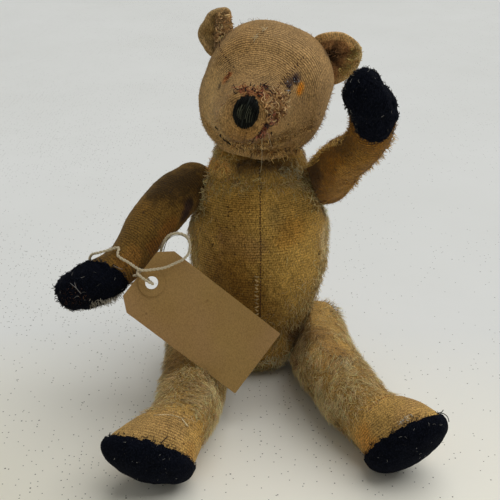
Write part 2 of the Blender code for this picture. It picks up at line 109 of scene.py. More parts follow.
# A leg's stations end with how far the foot moves towards its toes and how much it droops
LIMBS = {
    "right_arm": (
        (-32.5, 2, 96, 11, 11.5),
        (-39.5, -10, 92, 11, 11.5),
        (-48.5, -24, 85.5, 10.4, 10.8),
        (-57, -38, 78.5, 9.2, 9.4),
        (-66, -48, 73.5, 9.4, 9.6),
        (-77, -55.5, 69.5, 9.5, 10.3),
        (-86.5, -59, 67, 8, 8.6),
    ),
    "left_arm": (
        (33.9, 2, 97, 11.5, 11.5),
        (34.5, -12, 106.5, 11.5, 11.5),
        (37.5, -28, 118, 10.8, 10.8),
        (43.5, -43, 129, 9.3, 9.6),
        (46.5, -53, 140, 9.3, 10.6),
        (45, -59, 152.5, 9.3, 12),
        (41.5, -60.5, 161.5, 8, 9.6),
    ),
    "left_leg": (
        (30.2, -3, 18.3, 15.5, 15.5, 0, 0),
        (30.8, -22, 18.4, 16.5, 16.5, 0, 0),
        (35.5, -46, 18.0, 15.5, 16, 0, 0),
        (43, -69, 16.5, 14, 14.5, 0, 0),
        (48.5, -82.5, 15.5, 13.4, 13.4, 1, 0.05),
        (52.5, -91, 14.5, 16.2, 13.4, 4, 0.2),
        (56.3, -99.5, 13.8, 18.3, 13.2, 6, 0.35),
        (58.3, -104, 13.5, 18.6, 12.8, 6, 0.45),
    ),
    "right_leg": (
        (-30.2, -3, 18.3, 15.5, 15.5, 0, 0),
        (-29.8, -25, 18.4, 16.5, 16.5, 0, 0),
        (-30.5, -50, 17.1, 15.5, 15.4, 0, 0),
        (-33, -75, 16.5, 14, 14.5, 0, 0),
        (-36, -90.5, 15.5, 13.4, 13.4, 1, 0.05),
        (-38.3, -99.5, 14.3, 16.2, 13.4, 4, 0.2),
        (-40.3, -108.5, 13.4, 18.8, 13.2, 6.5, 0.4),
        (-41.3, -113, 13.0, 19.3, 12.8, 7, 0.5),
    ),
}
FOOT_ROLL = {"left": math.radians(42), "right": math.radians(54)}

# Head: its centre, how it is turned, tipped up and rolled, and its stations from back to muzzle:
# forwards, up, half width, half height
HEAD = np.array((3.5, -5.0, 144.5)) * MM
HEAD_TURN = math.radians(10)
HEAD_UP = math.radians(9)
HEAD_ROLL = math.radians(14)
HEAD_TAPER = 0.05
HEAD_FORM = (
    (-25, 0.5, 19, 20.5),
    (-17, 0.5, 26.5, 28),
    (-6, 0, 30.7, 32.5),
    (5, 0, 31, 32.5),
    (14, -0.5, 28.5, 29),
    (22, -2, 23.5, 23),
    (30, -3.5, 18.5, 17.5),
    (38, -4.5, 15, 14),
    (46, -5, 12, 11.5),
)
EAR_THICK = 4.6 * MM
EARS = {
    # side: middle of the base, the way along it, the way out from the head, and then its half
    # length, height and cup
    "right": ((-18.8, -2.0, 171.7), (0.04, 0.1, 0.99), (-0.78, -0.6, 0.1), 11.4, 12.2, 5.0),
    "left": ((32.8, 2.0, 159.3), (-0.33, 0.1, 0.94), (0.92, -0.2, 0.36), 11.9, 15.8, 6.4),
}

# The label's string, end to end, in millimetres
STRING_DIAMETER = 1.3 * MM
STRING_PATH = (
    (-46, -46, 80),
    (-44, -46.5, 85.5),
    (-41.5, -47, 89.3),
    (-37.4, -47.5, 90.6),
    (-33.6, -48, 89.3),
    (-31.9, -49, 85.8),
    (-32.4, -51, 82.4),
    (-34.6, -53.8, 80.6),
    (-38.6, -55.6, 79.2),
    (-43, -57.4, 78),
    (-48.3, -59, 77.8),
    (-53.6, -59.4, 77.9),
    (-59.2, -55.8, 79.7),
    (-64, -55, 82.8),
    (-64.2, -51.2, 85),
    (-69.4, -51.8, 83.9),
    (-73.2, -52.2, 83),
    (-77.2, -48.6, 80.2),
    (-79.2, -42.6, 73.4),
    (-75, -40.5, 66),
    (-68, -39, 62),
    (-60.5, -42.3, 62.3),
    (-55, -49, 67.5),
    (-54.9, -54.2, 75),
    (-54.8, -60.3, 76.3),
    (-51.4, -61.6, 73.9),
    (-48.5, -60.8, 71.6),
    (-49.7, -56.3, 70.2),
    (-53, -54.5, 72.2),
    (-57.2, -57.6, 74.2),
)


def linear(*rgb):
    """A colour as a paint chart gives it, 0 to 255, in the light values that a material holds."""
    share = np.array(rgb, float) / 255
    return np.where(share <= 0.04045, share / 12.92, ((share + 0.055) / 1.055) ** 2.4)


def unit(v):
    return v / np.maximum(np.linalg.norm(v, axis=-1, keepdims=True), 1e-12)


def smooth(low, high, x):
    """0 below low, 1 above high, and a soft step between. low may be the higher."""
    t = np.clip((x - low) / (high - low), 0, 1)
    return t * t * (3 - 2 * t)


def lumps(points, size, seed=0):
    """Soft noise from -1 to 1 over points, with lumps of about this size in metres."""
    q = np.asarray(points) / size + seed * 17.31
    cell = np.floor(q).astype(np.int64)
    f = q - cell
    f = f * f * (3 - 2 * f)
    total = 0.0
    for corner in range(8):
        step = np.array([(corner >> k) & 1 for k in range(3)])
        key = (cell + step) * np.array((73856093, 19349663, 83492791))
        key = key[..., 0] ^ key[..., 1] ^ key[..., 2] ^ (seed * 1013)
        key = (key * 2654435761) & 0xFFFFFFFF
        key = ((key ^ (key >> 15)) * 2246822519) & 0xFFFFFFFF
        value = ((key ^ (key >> 13)) & 0xFFFF) / 32767.5 - 1
        total = total + value * np.prod(np.where(step, f, 1 - f), axis=-1)
    return total


def to_line(points, ends):
    """How far points lie from the line between two ends."""
    a, b = (np.array(end, float) * MM for end in ends)
    way = b - a
    share = np.clip((points - a) @ way / max(way @ way, 1e-12), 0, 1)
    return np.linalg.norm(points - a - share[..., None] * way, axis=-1)


def running(steps):
    """The running total of steps, from 0."""
    return np.concatenate([[0], np.cumsum(steps)])


def swirls_of(p, size, seed):
    """Soft noise in three directions at once."""
    return np.stack([lumps(p, size, seed + k) for k in range(3)], axis=1)


def curve_value(values, at):
    """Values read at a fractional index from the smooth curve through all of them."""
    i = min(int(at), len(values) - 2)
    t = at - i
    a, b = values[i], values[i + 1]
    before = values[i - 1] if i else a * 2 - b
    after = values[i + 2] if i + 2 < len(values) else b * 2 - a
    bend = before * 2 - a * 5 + b * 4 - after
    twist = a * 3 - before - b * 3 + after
    return (a * 2 + (b - before) * t + bend * t * t + twist * t**3) * 0.5


def smooth_line(points, per=6):
    """A smooth curve through points, with this many steps between each two."""
    points = np.asarray(points, float)
    last = len(points) - 1
    return np.array([curve_value(points, last * k / (last * per)) for k in range(last * per + 1)])


def head_axes():
    turn = (
        Matrix.Rotation(-HEAD_TURN, 3, "Z")
        @ Matrix.Rotation(-HEAD_UP, 3, "X")
        @ Matrix.Rotation(HEAD_ROLL, 3, "Y")
    )
    return [np.array(turn @ Vector(v)) for v in ((1, 0, 0), (0, -1, 0), (0, 0, 1))]


HEAD_SIDE, HEAD_FACE, HEAD_TOP = head_axes()


def joint_flat(name, way):
    """The flat that a cover is pressed to at a joint: way is 1 on the limb, -1 on the torso."""
    place, axis = (np.array(v, float) for v in JOINTS[name])
    return place * MM + axis * (way * JOINT_PLAY), axis * -way


class Skin:
    """The outside of a stuffed piece. A place on it is read by how far along it lies, in metres,
    and by the angle round it."""

    def __init__(self, stations, side, caps, taper=0.0, flats=(), relief=None):
        rows = np.array([(*row, 0, 0)[:7] for row in stations], float)
        rows[:, :6] *= MM
        last = len(rows) - 1
        side = np.asarray(side, float)
        table = []
        for at in np.linspace(0, last, last * RING + 1):
            now = curve_value(rows, at)
            ahead = curve_value(rows[:, :3], min(at + 0.05, last))
            behind = curve_value(rows[:, :3], max(at - 0.05, 0))
            along = unit(unit(ahead - behind) + DOWN * now[6])
            across = unit(side - along * (side @ along))
            through = np.cross(along, across)
            table.append([*(now[:3] + across * now[5]), *along, *across, *through, *now[3:5]])
        table = np.array(table)
        ends = []
        for row, depth, way in ((table[0], caps[0], -1), (table[-1], caps[1], 1)):
            steps = []
            for angle in np.linspace(math.pi / 2, 0, CAP_ROWS + 1)[:-1]:
                step = row.copy()
                step[:3] += row[3:6] * (way * depth * MM * math.sin(angle))
                step[12:] *= math.cos(angle)
                steps.append(step)
            ends.append(np.array(steps))
        self.table = np.concatenate([ends[0], table, ends[1][::-1]])
        self.taper = taper
        self.flats = flats
        self.relief = relief
        self.along = np.arange(len(self.table), dtype=float)
        angles = np.linspace(0, 2 * math.pi, RING, endpoint=False)
        rings = self.place(np.repeat(self.along, RING), np.tile(angles, len(self.along)))
        rings = rings.reshape(-1, RING, 3)
        steps = np.linalg.norm(np.diff(rings, axis=0), axis=2).mean(1)
        self.girth = np.linalg.norm(rings - np.roll(rings, 1, axis=1), axis=2).sum(1)
        self.along = running(steps)
        self.length = self.along[-1]
        self.caps = self.along[CAP_ROWS], self.along[-1 - CAP_ROWS]
        self.found = None

    def place(self, v, a):
        row = np.stack([np.interp(v, self.along, column) for column in self.table.T], axis=-1)
        wide = row[..., 12] * np.cos(a) * (1 + self.taper * np.sin(a))
        tall = row[..., 13] * np.sin(a)
        return row[..., :3] + row[..., 6:9] * wide[..., None] + row[..., 9:12] * tall[..., None]

    def normal(self, v, a):
        h = 0.4 * MM
        low, high = np.clip(v - h, 0, self.length), np.clip(v + h, 0, self.length)
        round_it = self.place(v, a + 0.02) - self.place(v, a - 0.02)
        n = np.cross(round_it, self.place(high, a) - self.place(low, a))
        far_end = np.asarray(v) > self.length / 2
        tip = self.table[np.where(far_end, -1, 0), 3:6] * np.where(far_end, 1.0, -1.0)[..., None]
        weak = np.linalg.norm(n, axis=-1, keepdims=True) < 1e-11
        return unit(np.where(weak, tip, n))

    def press(self, points):
        """Points moved back to the flats that they lie beyond."""
        for point, outwards in self.flats:
            points = points - np.maximum((points - point) @ outwards, 0)[..., None] * outwards
        return points

    def surface(self, v, a):
        """(places, normals) on the cloth as it lies, with its lumps and seams."""
        p, n = self.place(v, a), self.normal(v, a)
        if self.relief:
            p = p + n * self.relief(p, v, a, n)[..., None]
        return self.press(p), n

    def seam(self, share, angle):
        """A line along the piece at one angle, up to a share of its length. In millimetres."""
        v = np.linspace(self.length * 0.1, self.length * share, 12)
        return self.place(v, np.full(12, angle)) / MM

    def scatter(self, rng, count):
        """Random places spread evenly: how far along, and the angle round."""
        strips = np.diff(self.along) * (self.girth[1:] + self.girth[:-1]) / 2
        share = running(strips)
        v = np.interp(rng.random(count) * share[-1], share, self.along)
        return v, rng.random(count) * 2 * math.pi

    def tree(self):
        """For finding the cloth under a point."""
        if self.found is None:
            rows, around = 150, 128
            v = np.linspace(1e-5, self.length - 1e-5, rows)
            v, a = np.meshgrid(v, np.arange(around) * (2 * math.pi / around), indexing="ij")
            points = self.surface(v, a)[0].reshape(-1, 3)
            k = np.arange((rows - 1) * around)
            beside = k - k % around + (k + 1) % around
            faces = np.stack([k, beside, beside + around, k + around], axis=1)
            self.found = BVHTree.FromPolygons(points.tolist(), faces.tolist())
        return self.found

    def nearest(self, points):
        """(places, normals) of the cloth nearest to points."""
        found = [self.tree().find_nearest(Vector(point))[:2] for point in points]
        return np.array([place for place, _ in found]), np.array([normal for _, normal in found])

    def lay(self, points, lift=0.0):
        """Points brought to the nearest cloth and lifted off it."""
        places, normals = self.nearest(points)
        return places + normals * np.broadcast_to(lift, len(points))[:, None]


# Relief of each piece's cloth: lumps of the stuffing, puckers and grooves at the seams


def stuffing_lumps(p, seed, big=0.5, small=0.18):
    lump = lumps(p, 13 * MM, seed) * big + lumps(p, 5.5 * MM, seed + 1) * small * 1.3
    return (lump + lumps(p, 2.2 * MM, seed + 2) * small * 0.6) * MM


def seam_relief(p, gap, seed, deep=0.55, wide=1.5):
    """A groove where gap, the distance to the seam, is small, with puckers beside it."""
    pucker = lumps(p * np.array((0.3, 0.3, 1.0)), 3.2 * MM, seed) * smooth(7 * MM, 1 * MM, gap)
    return (-deep * smooth(wide * MM, 0.2 * MM, gap) + 0.28 * pucker) * MM


def torso_relief(p, v, a, n):
    front = np.abs(p[..., 0] - 0.4 * MM) + np.where(p[..., 1] > 0, 1.0, 0.0)
    back = np.abs(p[..., 0]) + np.where(p[..., 1] < 0, 1.0, 0.0)
    relief = stuffing_lumps(p, 3, 0.6) + seam_relief(p, front, 9, 0.35, 1.1)
    relief = relief + seam_relief(p, back, 10)
    crease = lumps(p * np.array((0.35, 0.5, 1.7)), 9 * MM, 12)
    return relief + crease * smooth(0.45, 0.9, np.abs(n[..., 0])) * 0.5 * MM


# A dart on each side of the brow, and the worn place beside the nose
GUSSETS = (
    (
        (-17.4, -9.7, 167.2), (-15.3, -21.3, 165.2), (-12.9, -28.5, 162.4), (-14.2, -30.9, 159.5),
        (-15.6, -35.5, 155.5),
    ),
    ((18.8, -25.4, 165.3), (15.1, -30.0, 162.8), (11.0, -34.7, 160.0), (7.5, -40.5, 156.5)),
)
GASH_LINE = ((6.0, -52.2, 146.4), (3.0, -55.0, 141.5), (-1.2, -51.9, 136.1))
WORN_BROW = ((-6.5, -51.0, 158.0), (0.5, -51.5, 156.0))


def path_gap(p, path):
    return np.min([to_line(p, ends) for ends in zip(path, path[1:])], axis=0)


def head_relief(p, v, a, n):
    relief = stuffing_lumps(p, 21, 0.45, 0.15)
    for k, path in enumerate(GUSSETS):
        relief = relief + seam_relief(p, path_gap(p, path), 25 + k, 0.2, 0.9)
    gash = path_gap(p, GASH_LINE)
    relief = relief + smooth(4.4 * MM, 1.2 * MM, gash) * (-0.9 + 0.5 * lumps(p, 1.6 * MM, 31)) * MM
    brow = to_line(p, WORN_BROW)
    relief = relief + smooth(4.2 * MM, 2 * MM, brow) * (-0.25 + 0.4 * lumps(p, 1.8 * MM, 32)) * MM
    middle = (p - HEAD) @ HEAD_FACE
    corner = np.sin(2 * a) ** 2 * (np.sin(a) > 0)
    corner = corner * smooth(-20 * MM, -8 * MM, middle) * smooth(34 * MM, 10 * MM, middle)
    relief = relief + corner * np.where(np.cos(a) < 0, 1.9, 1.2) * MM
    side, top = n @ HEAD_SIDE, n @ HEAD_TOP
    jaw = smooth(0.45, 0.9, side * 0.85 - top * 0.5) * -2.2 - smooth(0.6, 0.95, -side) * 0.8
    chin = smooth(0.6, 0.95, -side * 0.7 - top * 0.7) * 1.6 - smooth(0.85, 1.0, top) * 0.5
    relief = relief + (jaw + chin) * MM
    under = smooth(-0.3, -0.8, n @ HEAD_TOP)
    return relief + under * lumps(p * np.array((1.0, 1.0, 2.0)), 5 * MM, 33) * 0.5 * MM


def limb_relief(seed, name):
    """Lumps and folds, and how each arm's stuffing has slumped."""

    def relief(p, v, a, n):
        out = lumps(p, 7 * MM, seed + 5) * 0.22
        if name == "right_arm":
            top = np.clip(n @ np.array((-0.72, -0.1, 0.68)), 0, 1)
            low = np.clip(n @ np.array((0.72, 0.1, -0.68)), 0, 1)
            swell = 3.0 * smooth(12 * MM, 36 * MM, v) * smooth(80 * MM, 60 * MM, v)
            out = out + top * (swell - 0.7 * smooth(28 * MM, 10 * MM, v))
            out = out - low * 2.2 * smooth(8 * MM, 26 * MM, v) * smooth(78 * MM, 58 * MM, v)
            out = out - 2.4 * np.clip(-n[..., 0], 0, 1) * smooth(-82 * MM, -91 * MM, p[..., 0])
            out = out - 1.4 * np.clip(n[..., 2], 0, 1) * smooth(-64 * MM, -74 * MM, p[..., 0])
        if name == "left_arm":
            out = out - 1.0 * np.abs(n[..., 0]) * smooth(62 * MM, 84 * MM, v)
            dents = (31, -62, 145, 3.4, 14), (56, -61, 169, 2.5, 20), (31, -62, 166, 0.8, 14)
            for x, y, z, deep, reach in dents:
                near = np.linalg.norm(p - np.array((x, y, z)) * MM, axis=-1)
                out = out - deep * smooth(reach * MM, 3 * MM, near)
        if name == "left_leg":
            top = np.clip(n @ np.array((0.6, 0.1, 0.8)), 0, 1)
            out = out - 2.6 * top * smooth(88 * MM, 58 * MM, v)
        return stuffing_lumps(p, seed, 0.45) + out * MM

    return relief


def leg_toes(side):
    """The way the toes point from the heel."""
    way = 1 if side == "left" else -1
    rows = np.array([row[:3] for row in LIMBS[side + "_leg"]], float)
    along = unit(rows[-3] - rows[-5])
    level = unit(np.array((-along[1] * way, along[0] * way, 0.0)))
    roll = FOOT_ROLL[side]
    return np.array((0, 0, 1.0)) * math.cos(roll) + level * math.sin(roll)


SKINS = {}


def skin(name):
    """The skin of the torso, the head, an arm or a leg."""
    if name in SKINS:
        return SKINS[name]
    side, _, part = name.rpartition("_")
    if name == "torso":
        flats = [joint_flat(joint, -1) for joint in JOINTS] + [(np.zeros(3), DOWN)]
        made = Skin(TORSO, (1, 0, 0), (6, 8), 0.0, flats, torso_relief)
    elif name == "head":
        rows = [
            (*((HEAD + (HEAD_FACE * ahead + HEAD_TOP * up) * MM) / MM), wide, tall)
            for ahead, up, wide, tall in HEAD_FORM
        ]
        made = Skin(rows, HEAD_SIDE, (7.5, 7), -HEAD_TAPER, [joint_flat("neck", 1)], head_relief)
    elif part == "arm":
        flats = [joint_flat(side + "_shoulder", 1)]
        relief = limb_relief(41 if side == "left" else 51, name)
        made = Skin(LIMBS[name], (0, -1, 0), (9, 7), 0.0, flats, relief)
    else:
        flats = [joint_flat(side + "_hip", 1), (np.array((0, 0, PILE_UNDER_LEG)), DOWN)]
        relief = limb_relief(61 if side == "left" else 71, name)
        made = Skin(LIMBS[name], leg_toes(side), (9, 8), 0.0, flats, relief)
    SKINS[name] = made
    return made


# Stains that lie on each piece, and painted shade and light where noted: one end, other end, reach
# in mm, colour, strength
# Near-black brown: soot in small holes and marks, and the painted shadow under the chin
SOOT_AND_SHADOW = (40, 30, 26)
# Painted shade: a dark plum brown for the hollow under the right arm
ARMPIT_SHADE = (44, 28, 36)
STAINS_AND_SHADING = {
    "torso": (
        ((7.4, -23.7, 89.5), (9.5, -24, 84), 5.5, (116, 96, 56), 0.45),
        ((16, -23.0, 82.0), (13, -24, 78), 8, (176, 128, 54), 0.5),
        ((-16, -26, 76.0), (-3, -27, 73), 9, (152, 116, 78), 0.45),
        ((-18, -27, 54.0), (-2, -29, 34), 23, (106, 70, 16), 0.66),
        ((-12, -26, 92.0), (-14, -28, 66), 13, (146, 108, 46), 0.5),
        ((-25, -4, 108), (-17, -12, 109), 5.5, (255, 212, 128), 0.85),
        ((-19, -16, 105), (-12, -18, 106.5), 3.2, (150, 108, 52), 0.4),
        # Painted shadow under the chin: a dark band where the head shades the torso, and a wider,
        # softer one around it
        ((-9, -16, 112.6), (12, -16, 112.8), 2.6, SOOT_AND_SHADOW, 0.6),
        ((-9, -16, 111.5), (18, -13, 111), 6, (78, 52, 20), 0.72),
        # Darker where the right leg meets the torso
        ((-19, -28, 22), (-22, -20, 16), 9, (120, 74, 30), 0.5),
        ((-4, -30, 13), (14, -28, 11), 11, (224, 172, 84), 0.5),
        # Darker where the left leg meets the torso
        ((20, -24, 24), (22, -20, 14), 8, (92, 54, 24), 0.75),
        ((28.9, -14.8, 65.2), (28.9, -14.8, 65.2), 1.0, SOOT_AND_SHADOW, 0.9),
        ((-22.2, -20.7, 72.9), (-22.2, -20.7, 72.9), 1.0, SOOT_AND_SHADOW, 0.8),
        # Painted shade under the right arm, where it meets the torso
        ((-32, -6, 88), (-33, 4, 80), 9, ARMPIT_SHADE, 0.5),
        # Darker under the left arm
        ((30, -8, 92), (34, 2, 84), 8, (104, 70, 34), 0.5),
        ((35, -8, 72), (33, -10, 38), 8, (246, 222, 170), 0.5),
    ),
    "head": (
        ((-13.6, -32.2, 159.5), (-16.2, -32.0, 157.0), 2.4, (172, 98, 42), 0.8),
        ((-18.3, -30.2, 155.2), (-17.8, -31.2, 153.4), 1.5, SOOT_AND_SHADOW, 0.8),
        ((17.6, -33.2, 154.6), (16.8, -34.4, 152.6), 2.8, (224, 150, 44), 0.88),
        ((12.5, -36.0, 156.6), (15.4, -33.6, 158.2), 3.2, (70, 52, 56), 0.75),
        (*WORN_BROW, 4.4, (150, 84, 50), 0.75),
        ((1.8, -46.2, 157.6), (3.4, -47.5, 156.2), 1.9, (96, 62, 36), 0.8),
        (*GASH_LINE[:2], 3.6, (112, 58, 34), 0.8),
        (*GASH_LINE[1:], 3.6, (104, 52, 34), 0.85),
        ((5.0, -52.0, 145.2), (4.2, -53.2, 143.2), 1.3, SOOT_AND_SHADOW, 0.9),
        ((2.6, -54.5, 140.6), (1.4, -54.0, 138.8), 1.4, SOOT_AND_SHADOW, 0.9),
        ((-0.2, -53.0, 137.6), (-1.2, -52.0, 136.2), 1.1, SOOT_AND_SHADOW, 0.8),
        ((3.8, -54.8, 151.3), (6.0, -51.5, 144.0), 3.4, (112, 70, 38), 0.7),
        ((7.5, -45.5, 154.5), (8.0, -47.5, 146.0), 5.5, (116, 76, 42), 0.65),
        ((5.7, -46.2, 136.3), (5.7, -46.2, 136.3), 1.6, SOOT_AND_SHADOW, 0.95),
        ((-6.3, -56.8, 141.0), (-10, -48, 133), 8, (134, 92, 36), 0.5),
        # Painted shade under the muzzle and the chin
        ((-10, -46, 130), (10, -36, 126), 12, (104, 70, 20), 0.68),
        ((-6.3, -58, 149.9), (-6.3, -58, 149.9), 9.8, (92, 64, 36), 0.62),
        # Painted light: the right cheek made paler where it catches the light
        ((-25, -24, 152), (-23, -26, 138), 14, (216, 178, 118), 0.5),
        # Painted shade under the head, where it meets the neck
        ((-12.8, -19.4, 124.2), (12, -22, 123), 6, (128, 88, 34), 0.45),
        ((4, -20, 122.8), (14, -14, 124.0), 1.6, (118, 44, 24), 0.8),
        # Painted shadow at the roots of the ears
        ((34, 0, 157), (30, -6, 164), 5, (92, 66, 40), 0.7),
        ((-22, -4, 166), (-16, 0, 172), 3, (110, 82, 52), 0.6),
    ),
    "right_arm": (
        ((-49.4, -35.7, 90.0), (-48.5, -33.5, 91), 1.9, (62, 46, 34), 0.6),
        ((-46.9, -23.9, 97.3), (-45, -22, 97.0), 2.2, (70, 54, 38), 0.5),
        # Painted shade under the right arm by the shoulder
        ((-33.5, -20.2, 93.3), (-34.0, -26, 84), 5, ARMPIT_SHADE, 0.9),
        ((-40, -31, 88), (-50, -42, 80), 5, (146, 92, 34), 0.5),
        # Painted shade over the upper arm by the shoulder
        ((-34, -10, 100), (-46, -19, 100), 13, (50, 33, 5), 0.82),
        ((-62.2, -43.6, 85.4), (-60, -40, 86), 1.8, (78, 58, 40), 0.5),
        ((-57.1, -49.7, 80.7), (-62, -54, 78), 6, (160, 110, 50), 0.4),
    ),
    "left_arm": (
        # Painted shade in the left armpit
        ((26.5, -27, 113), (26, -12, 100), 7, (54, 30, 10), 0.8),
        ((34, -44, 132), (40.4, -56.6, 133), 8, (94, 64, 14), 0.5),
        ((44.2, -55, 128.8), (39, -43, 117), 7, (176, 134, 62), 0.35),
        ((39, -43, 117), (37, -19, 99), 7, (182, 138, 64), 0.35),
        ((46, -52, 128), (46, -52, 128), 2.0, (90, 62, 34), 0.7),
        ((30, -30, 122), (30, -30, 122), 2.2, (86, 62, 36), 0.6),
    ),
    "left_leg": (
        ((22, -30, 30), (27, -40, 31), 8, (136, 108, 64), 0.5),
        ((30, -38, 33), (38, -58, 32), 9, (150, 112, 64), 0.5),
        ((37.8, -57.6, 32.3), (37.8, -57.6, 32.3), 1.3, SOOT_AND_SHADOW, 0.85),
        ((35.2, -60.5, 31.6), (35.2, -60.5, 31.6), 0.9, SOOT_AND_SHADOW, 0.7),
        ((47.2, -99, 17), (50, -108, 14), 8, (200, 138, 56), 0.65),
        ((66, -94, 28), (62.7, -106.5, 28), 9, (158, 124, 78), 0.6),
        ((20, -40, 18), (24, -50, 16), 4, (120, 52, 22), 0.7),
        # Darker where the thigh meets the torso
        ((17.5, -16, 18), (18, -20, 24), 8, (112, 66, 28), 0.7),
    ),
    "right_leg": (
        ((-49.8, -112.3, 28.0), (-38, -108, 27), 14, (158, 126, 80), 0.6),
        ((-32.2, -118.0, 13.3), (-33, -110, 16), 8, (186, 134, 62), 0.55),
        ((-42.2, -62.0, 26.8), (-36, -50, 30), 10, (150, 112, 62), 0.5),
        ((-24, -60, 30), (-24, -72, 29), 3, (110, 78, 40), 0.6),
        # Darker where the thigh meets the torso
        ((-17.5, -16, 18), (-18, -20, 24), 8, (112, 66, 28), 0.7),
    ),
}
# Colours of each piece's worn backing, and of the pile left on it
CLOTH = {
    "torso": ((181, 145, 74), (238, 212, 152)),
    "head": ((170, 136, 88), (216, 178, 116)),
    "right_arm": ((118, 88, 36), (148, 114, 52)),
    "left_arm": ((124, 82, 14), (190, 138, 46)),
    "left_leg": ((180, 144, 80), (252, 222, 160)),
    "right_leg": ((184, 148, 82), (252, 222, 160)),
}


def towards(colour, other, share):
    """A colour moved towards another one by a share at each place."""
    return colour + (other - colour) * share[..., None]


def stained_and_shaded(name, p, colour):
    """A colour with the piece's stains, and the painted shade and light listed with them, over it.
    """
    ragged = lumps(p, 2.6 * MM, 81) * 0.22 + lumps(p, 1.1 * MM, 82) * 0.14
    for a, b, reach, tint, strength in STAINS_AND_SHADING[name]:
        gap = to_line(p, (a, b)) / (reach * MM) + ragged
        colour = towards(colour, linear(*tint), smooth(1.05, 0.35, gap) * strength)
    return colour


def cloth_colour(name, p):
    """The worn backing: browner where handling soiled it, drab in soft patches, with the stains and
    painted shade over it.
    """
    plain = linear(*CLOTH[name][0])
    ground = plain * (1 + 0.13 * lumps(p, 16 * MM, 83) + 0.08 * lumps(p, 5 * MM, 84))[..., None]
    drab = smooth(-0.2, 0.7, lumps(p, 21 * MM, 85)) * 0.4
    warm = smooth(0.0, 0.8, lumps(p, 15 * MM, 86)) * 0.3
    ground = towards(ground, plain * np.array((0.78, 0.8, 0.9)), drab)
    return stained_and_shaded(name, p, towards(ground, plain * np.array((1.12, 0.95, 0.62)), warm))


def pile_colour(name, p):
    """The mohair that is left: blonder than the backing under it."""
    pile = linear(*CLOTH[name][1]) * (1 + 0.2 * lumps(p, 9 * MM, 87))[..., None]
    grey = smooth(0.1, 0.8, lumps(p, 12 * MM, 88)) * 0.4
    return stained_and_shaded(name, p, towards(pile, pile * np.array((0.85, 0.87, 0.84)), grey))


def wear(name, p, v, n):
    """(how bare the cloth is, how much long pile is left), each from 0 to 1."""
    patchy = lumps(p, 8 * MM, 91) * 0.25 + lumps(p, 3.5 * MM, 92) * 0.12
    if name == "torso":
        front = -n[..., 1]
        side = smooth(0.78, 0.3, front + patchy)
        low = smooth(44 * MM, 27 * MM, p[..., 2] + patchy * 14 * MM)
        right_low = smooth(8 * MM, 24 * MM, p[..., 0]) * smooth(62 * MM, 40 * MM, p[..., 2])
        top = smooth(99 * MM, 107 * MM, p[..., 2] + np.abs(p[..., 0]) * 0.25)
        long_pile = np.clip(np.maximum.reduce([side * 0.85, low, right_low * 0.9, top * 0.8]), 0, 1)
        panel = np.where(p[..., 0] < 0.4 * MM, 1.0, 0.72)
        return np.clip((1 - long_pile) * panel, 0, 1), long_pile
    if name == "head":
        top, face = n @ HEAD_TOP, n @ HEAD_FACE
        brow = smooth(-0.1, 0.35, top + patchy * 0.6) * smooth(-0.9, -0.2, face)
        chin = smooth(-0.35, -0.85, top + patchy)
        back = smooth(0.0, -0.75, face + patchy)
        long_pile = np.clip(np.maximum(chin * 0.8, back * 0.5), 0, 1)
        return np.clip(0.22 + 0.78 * brow - 0.4 * chin, 0, 1), long_pile
    if name == "right_arm":
        return np.full(p.shape[:-1], 0.85), np.clip(0.1 + patchy * 0.5, 0, 0.4)
    if name == "left_arm":
        return np.full(p.shape[:-1], 1.0), np.clip(0.35 + patchy * 1.6, 0.1, 1)
    made = skin(name)
    foot = smooth(made.caps[1] - 30 * MM, made.caps[1] - 17 * MM, v + patchy * 8 * MM)
    thigh = smooth(made.length * 0.62, made.length * 0.4, v)
    thigh = smooth(0.35, 0.85, n[..., 2] + patchy) * thigh
    outer = smooth(0.1, 0.8, n[..., 0] * (1 if name == "left_leg" else -1)) * 0.35
    long_pile = np.clip(1 - np.maximum.reduce([foot, thigh * 0.85, outer]), 0, 1)
    return np.clip(foot * 0.82 + 0.35 * thigh, 0, 1), long_pile


# Meshes


def fresh_object(name, mesh):
    made = bpy.data.objects.new(name, mesh)
    bpy.context.scene.collection.objects.link(made)
    return made


def mesh_object(name, points, faces, colours=None, cells=None):
    """An object from points and triangles, with a colour for each point and a flat layout."""
    mesh = bpy.data.meshes.new(name)
    points = np.ascontiguousarray(points, np.float32)
    faces = np.ascontiguousarray(faces, np.int32)
    mesh.vertices.add(len(points))
    mesh.vertices.foreach_set("co", points.ravel())
    mesh.loops.add(faces.size)
    mesh.loops.foreach_set("vertex_index", faces.ravel())
    mesh.polygons.add(len(faces))
    mesh.polygons.foreach_set("loop_start", np.arange(0, faces.size, 3, dtype=np.int32))
    mesh.update(calc_edges=True)
    mesh.shade_smooth()
    if colours is not None:
        paint(mesh, colours)
    if cells is not None:
        layer = mesh.uv_layers.new(name="OFBake")
        layer.uv.foreach_set("vector", cells[faces.ravel()].astype(np.float32).ravel())
    return fresh_object(name, mesh)


def paint(mesh, colours):
    """Keeps a colour for each point, with the bareness of the cloth as its fourth value."""
    colours = np.asarray(colours, np.float32)
    if colours.shape[1] == 3:
        colours = np.concatenate([colours, np.ones((len(colours), 1), np.float32)], axis=1)
    # The colour holds the cloth's own colour together with its painted shade and light
    layer = mesh.attributes.new("dye", "FLOAT_COLOR", "POINT")
    layer.data.foreach_set("color", colours.ravel())


def pick(made):
    """Makes one object the only one that is selected, and the active one."""
    bpy.ops.object.select_all(action="DESELECT")
    made.select_set(True)
    bpy.context.view_layer.objects.active = made


def finish_piece(made, body, slot, material, *nodes):
    made.data.materials.clear()
    made.data.materials.append(material)
    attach(made, body)
    if nodes:
        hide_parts(*nodes)
    return made


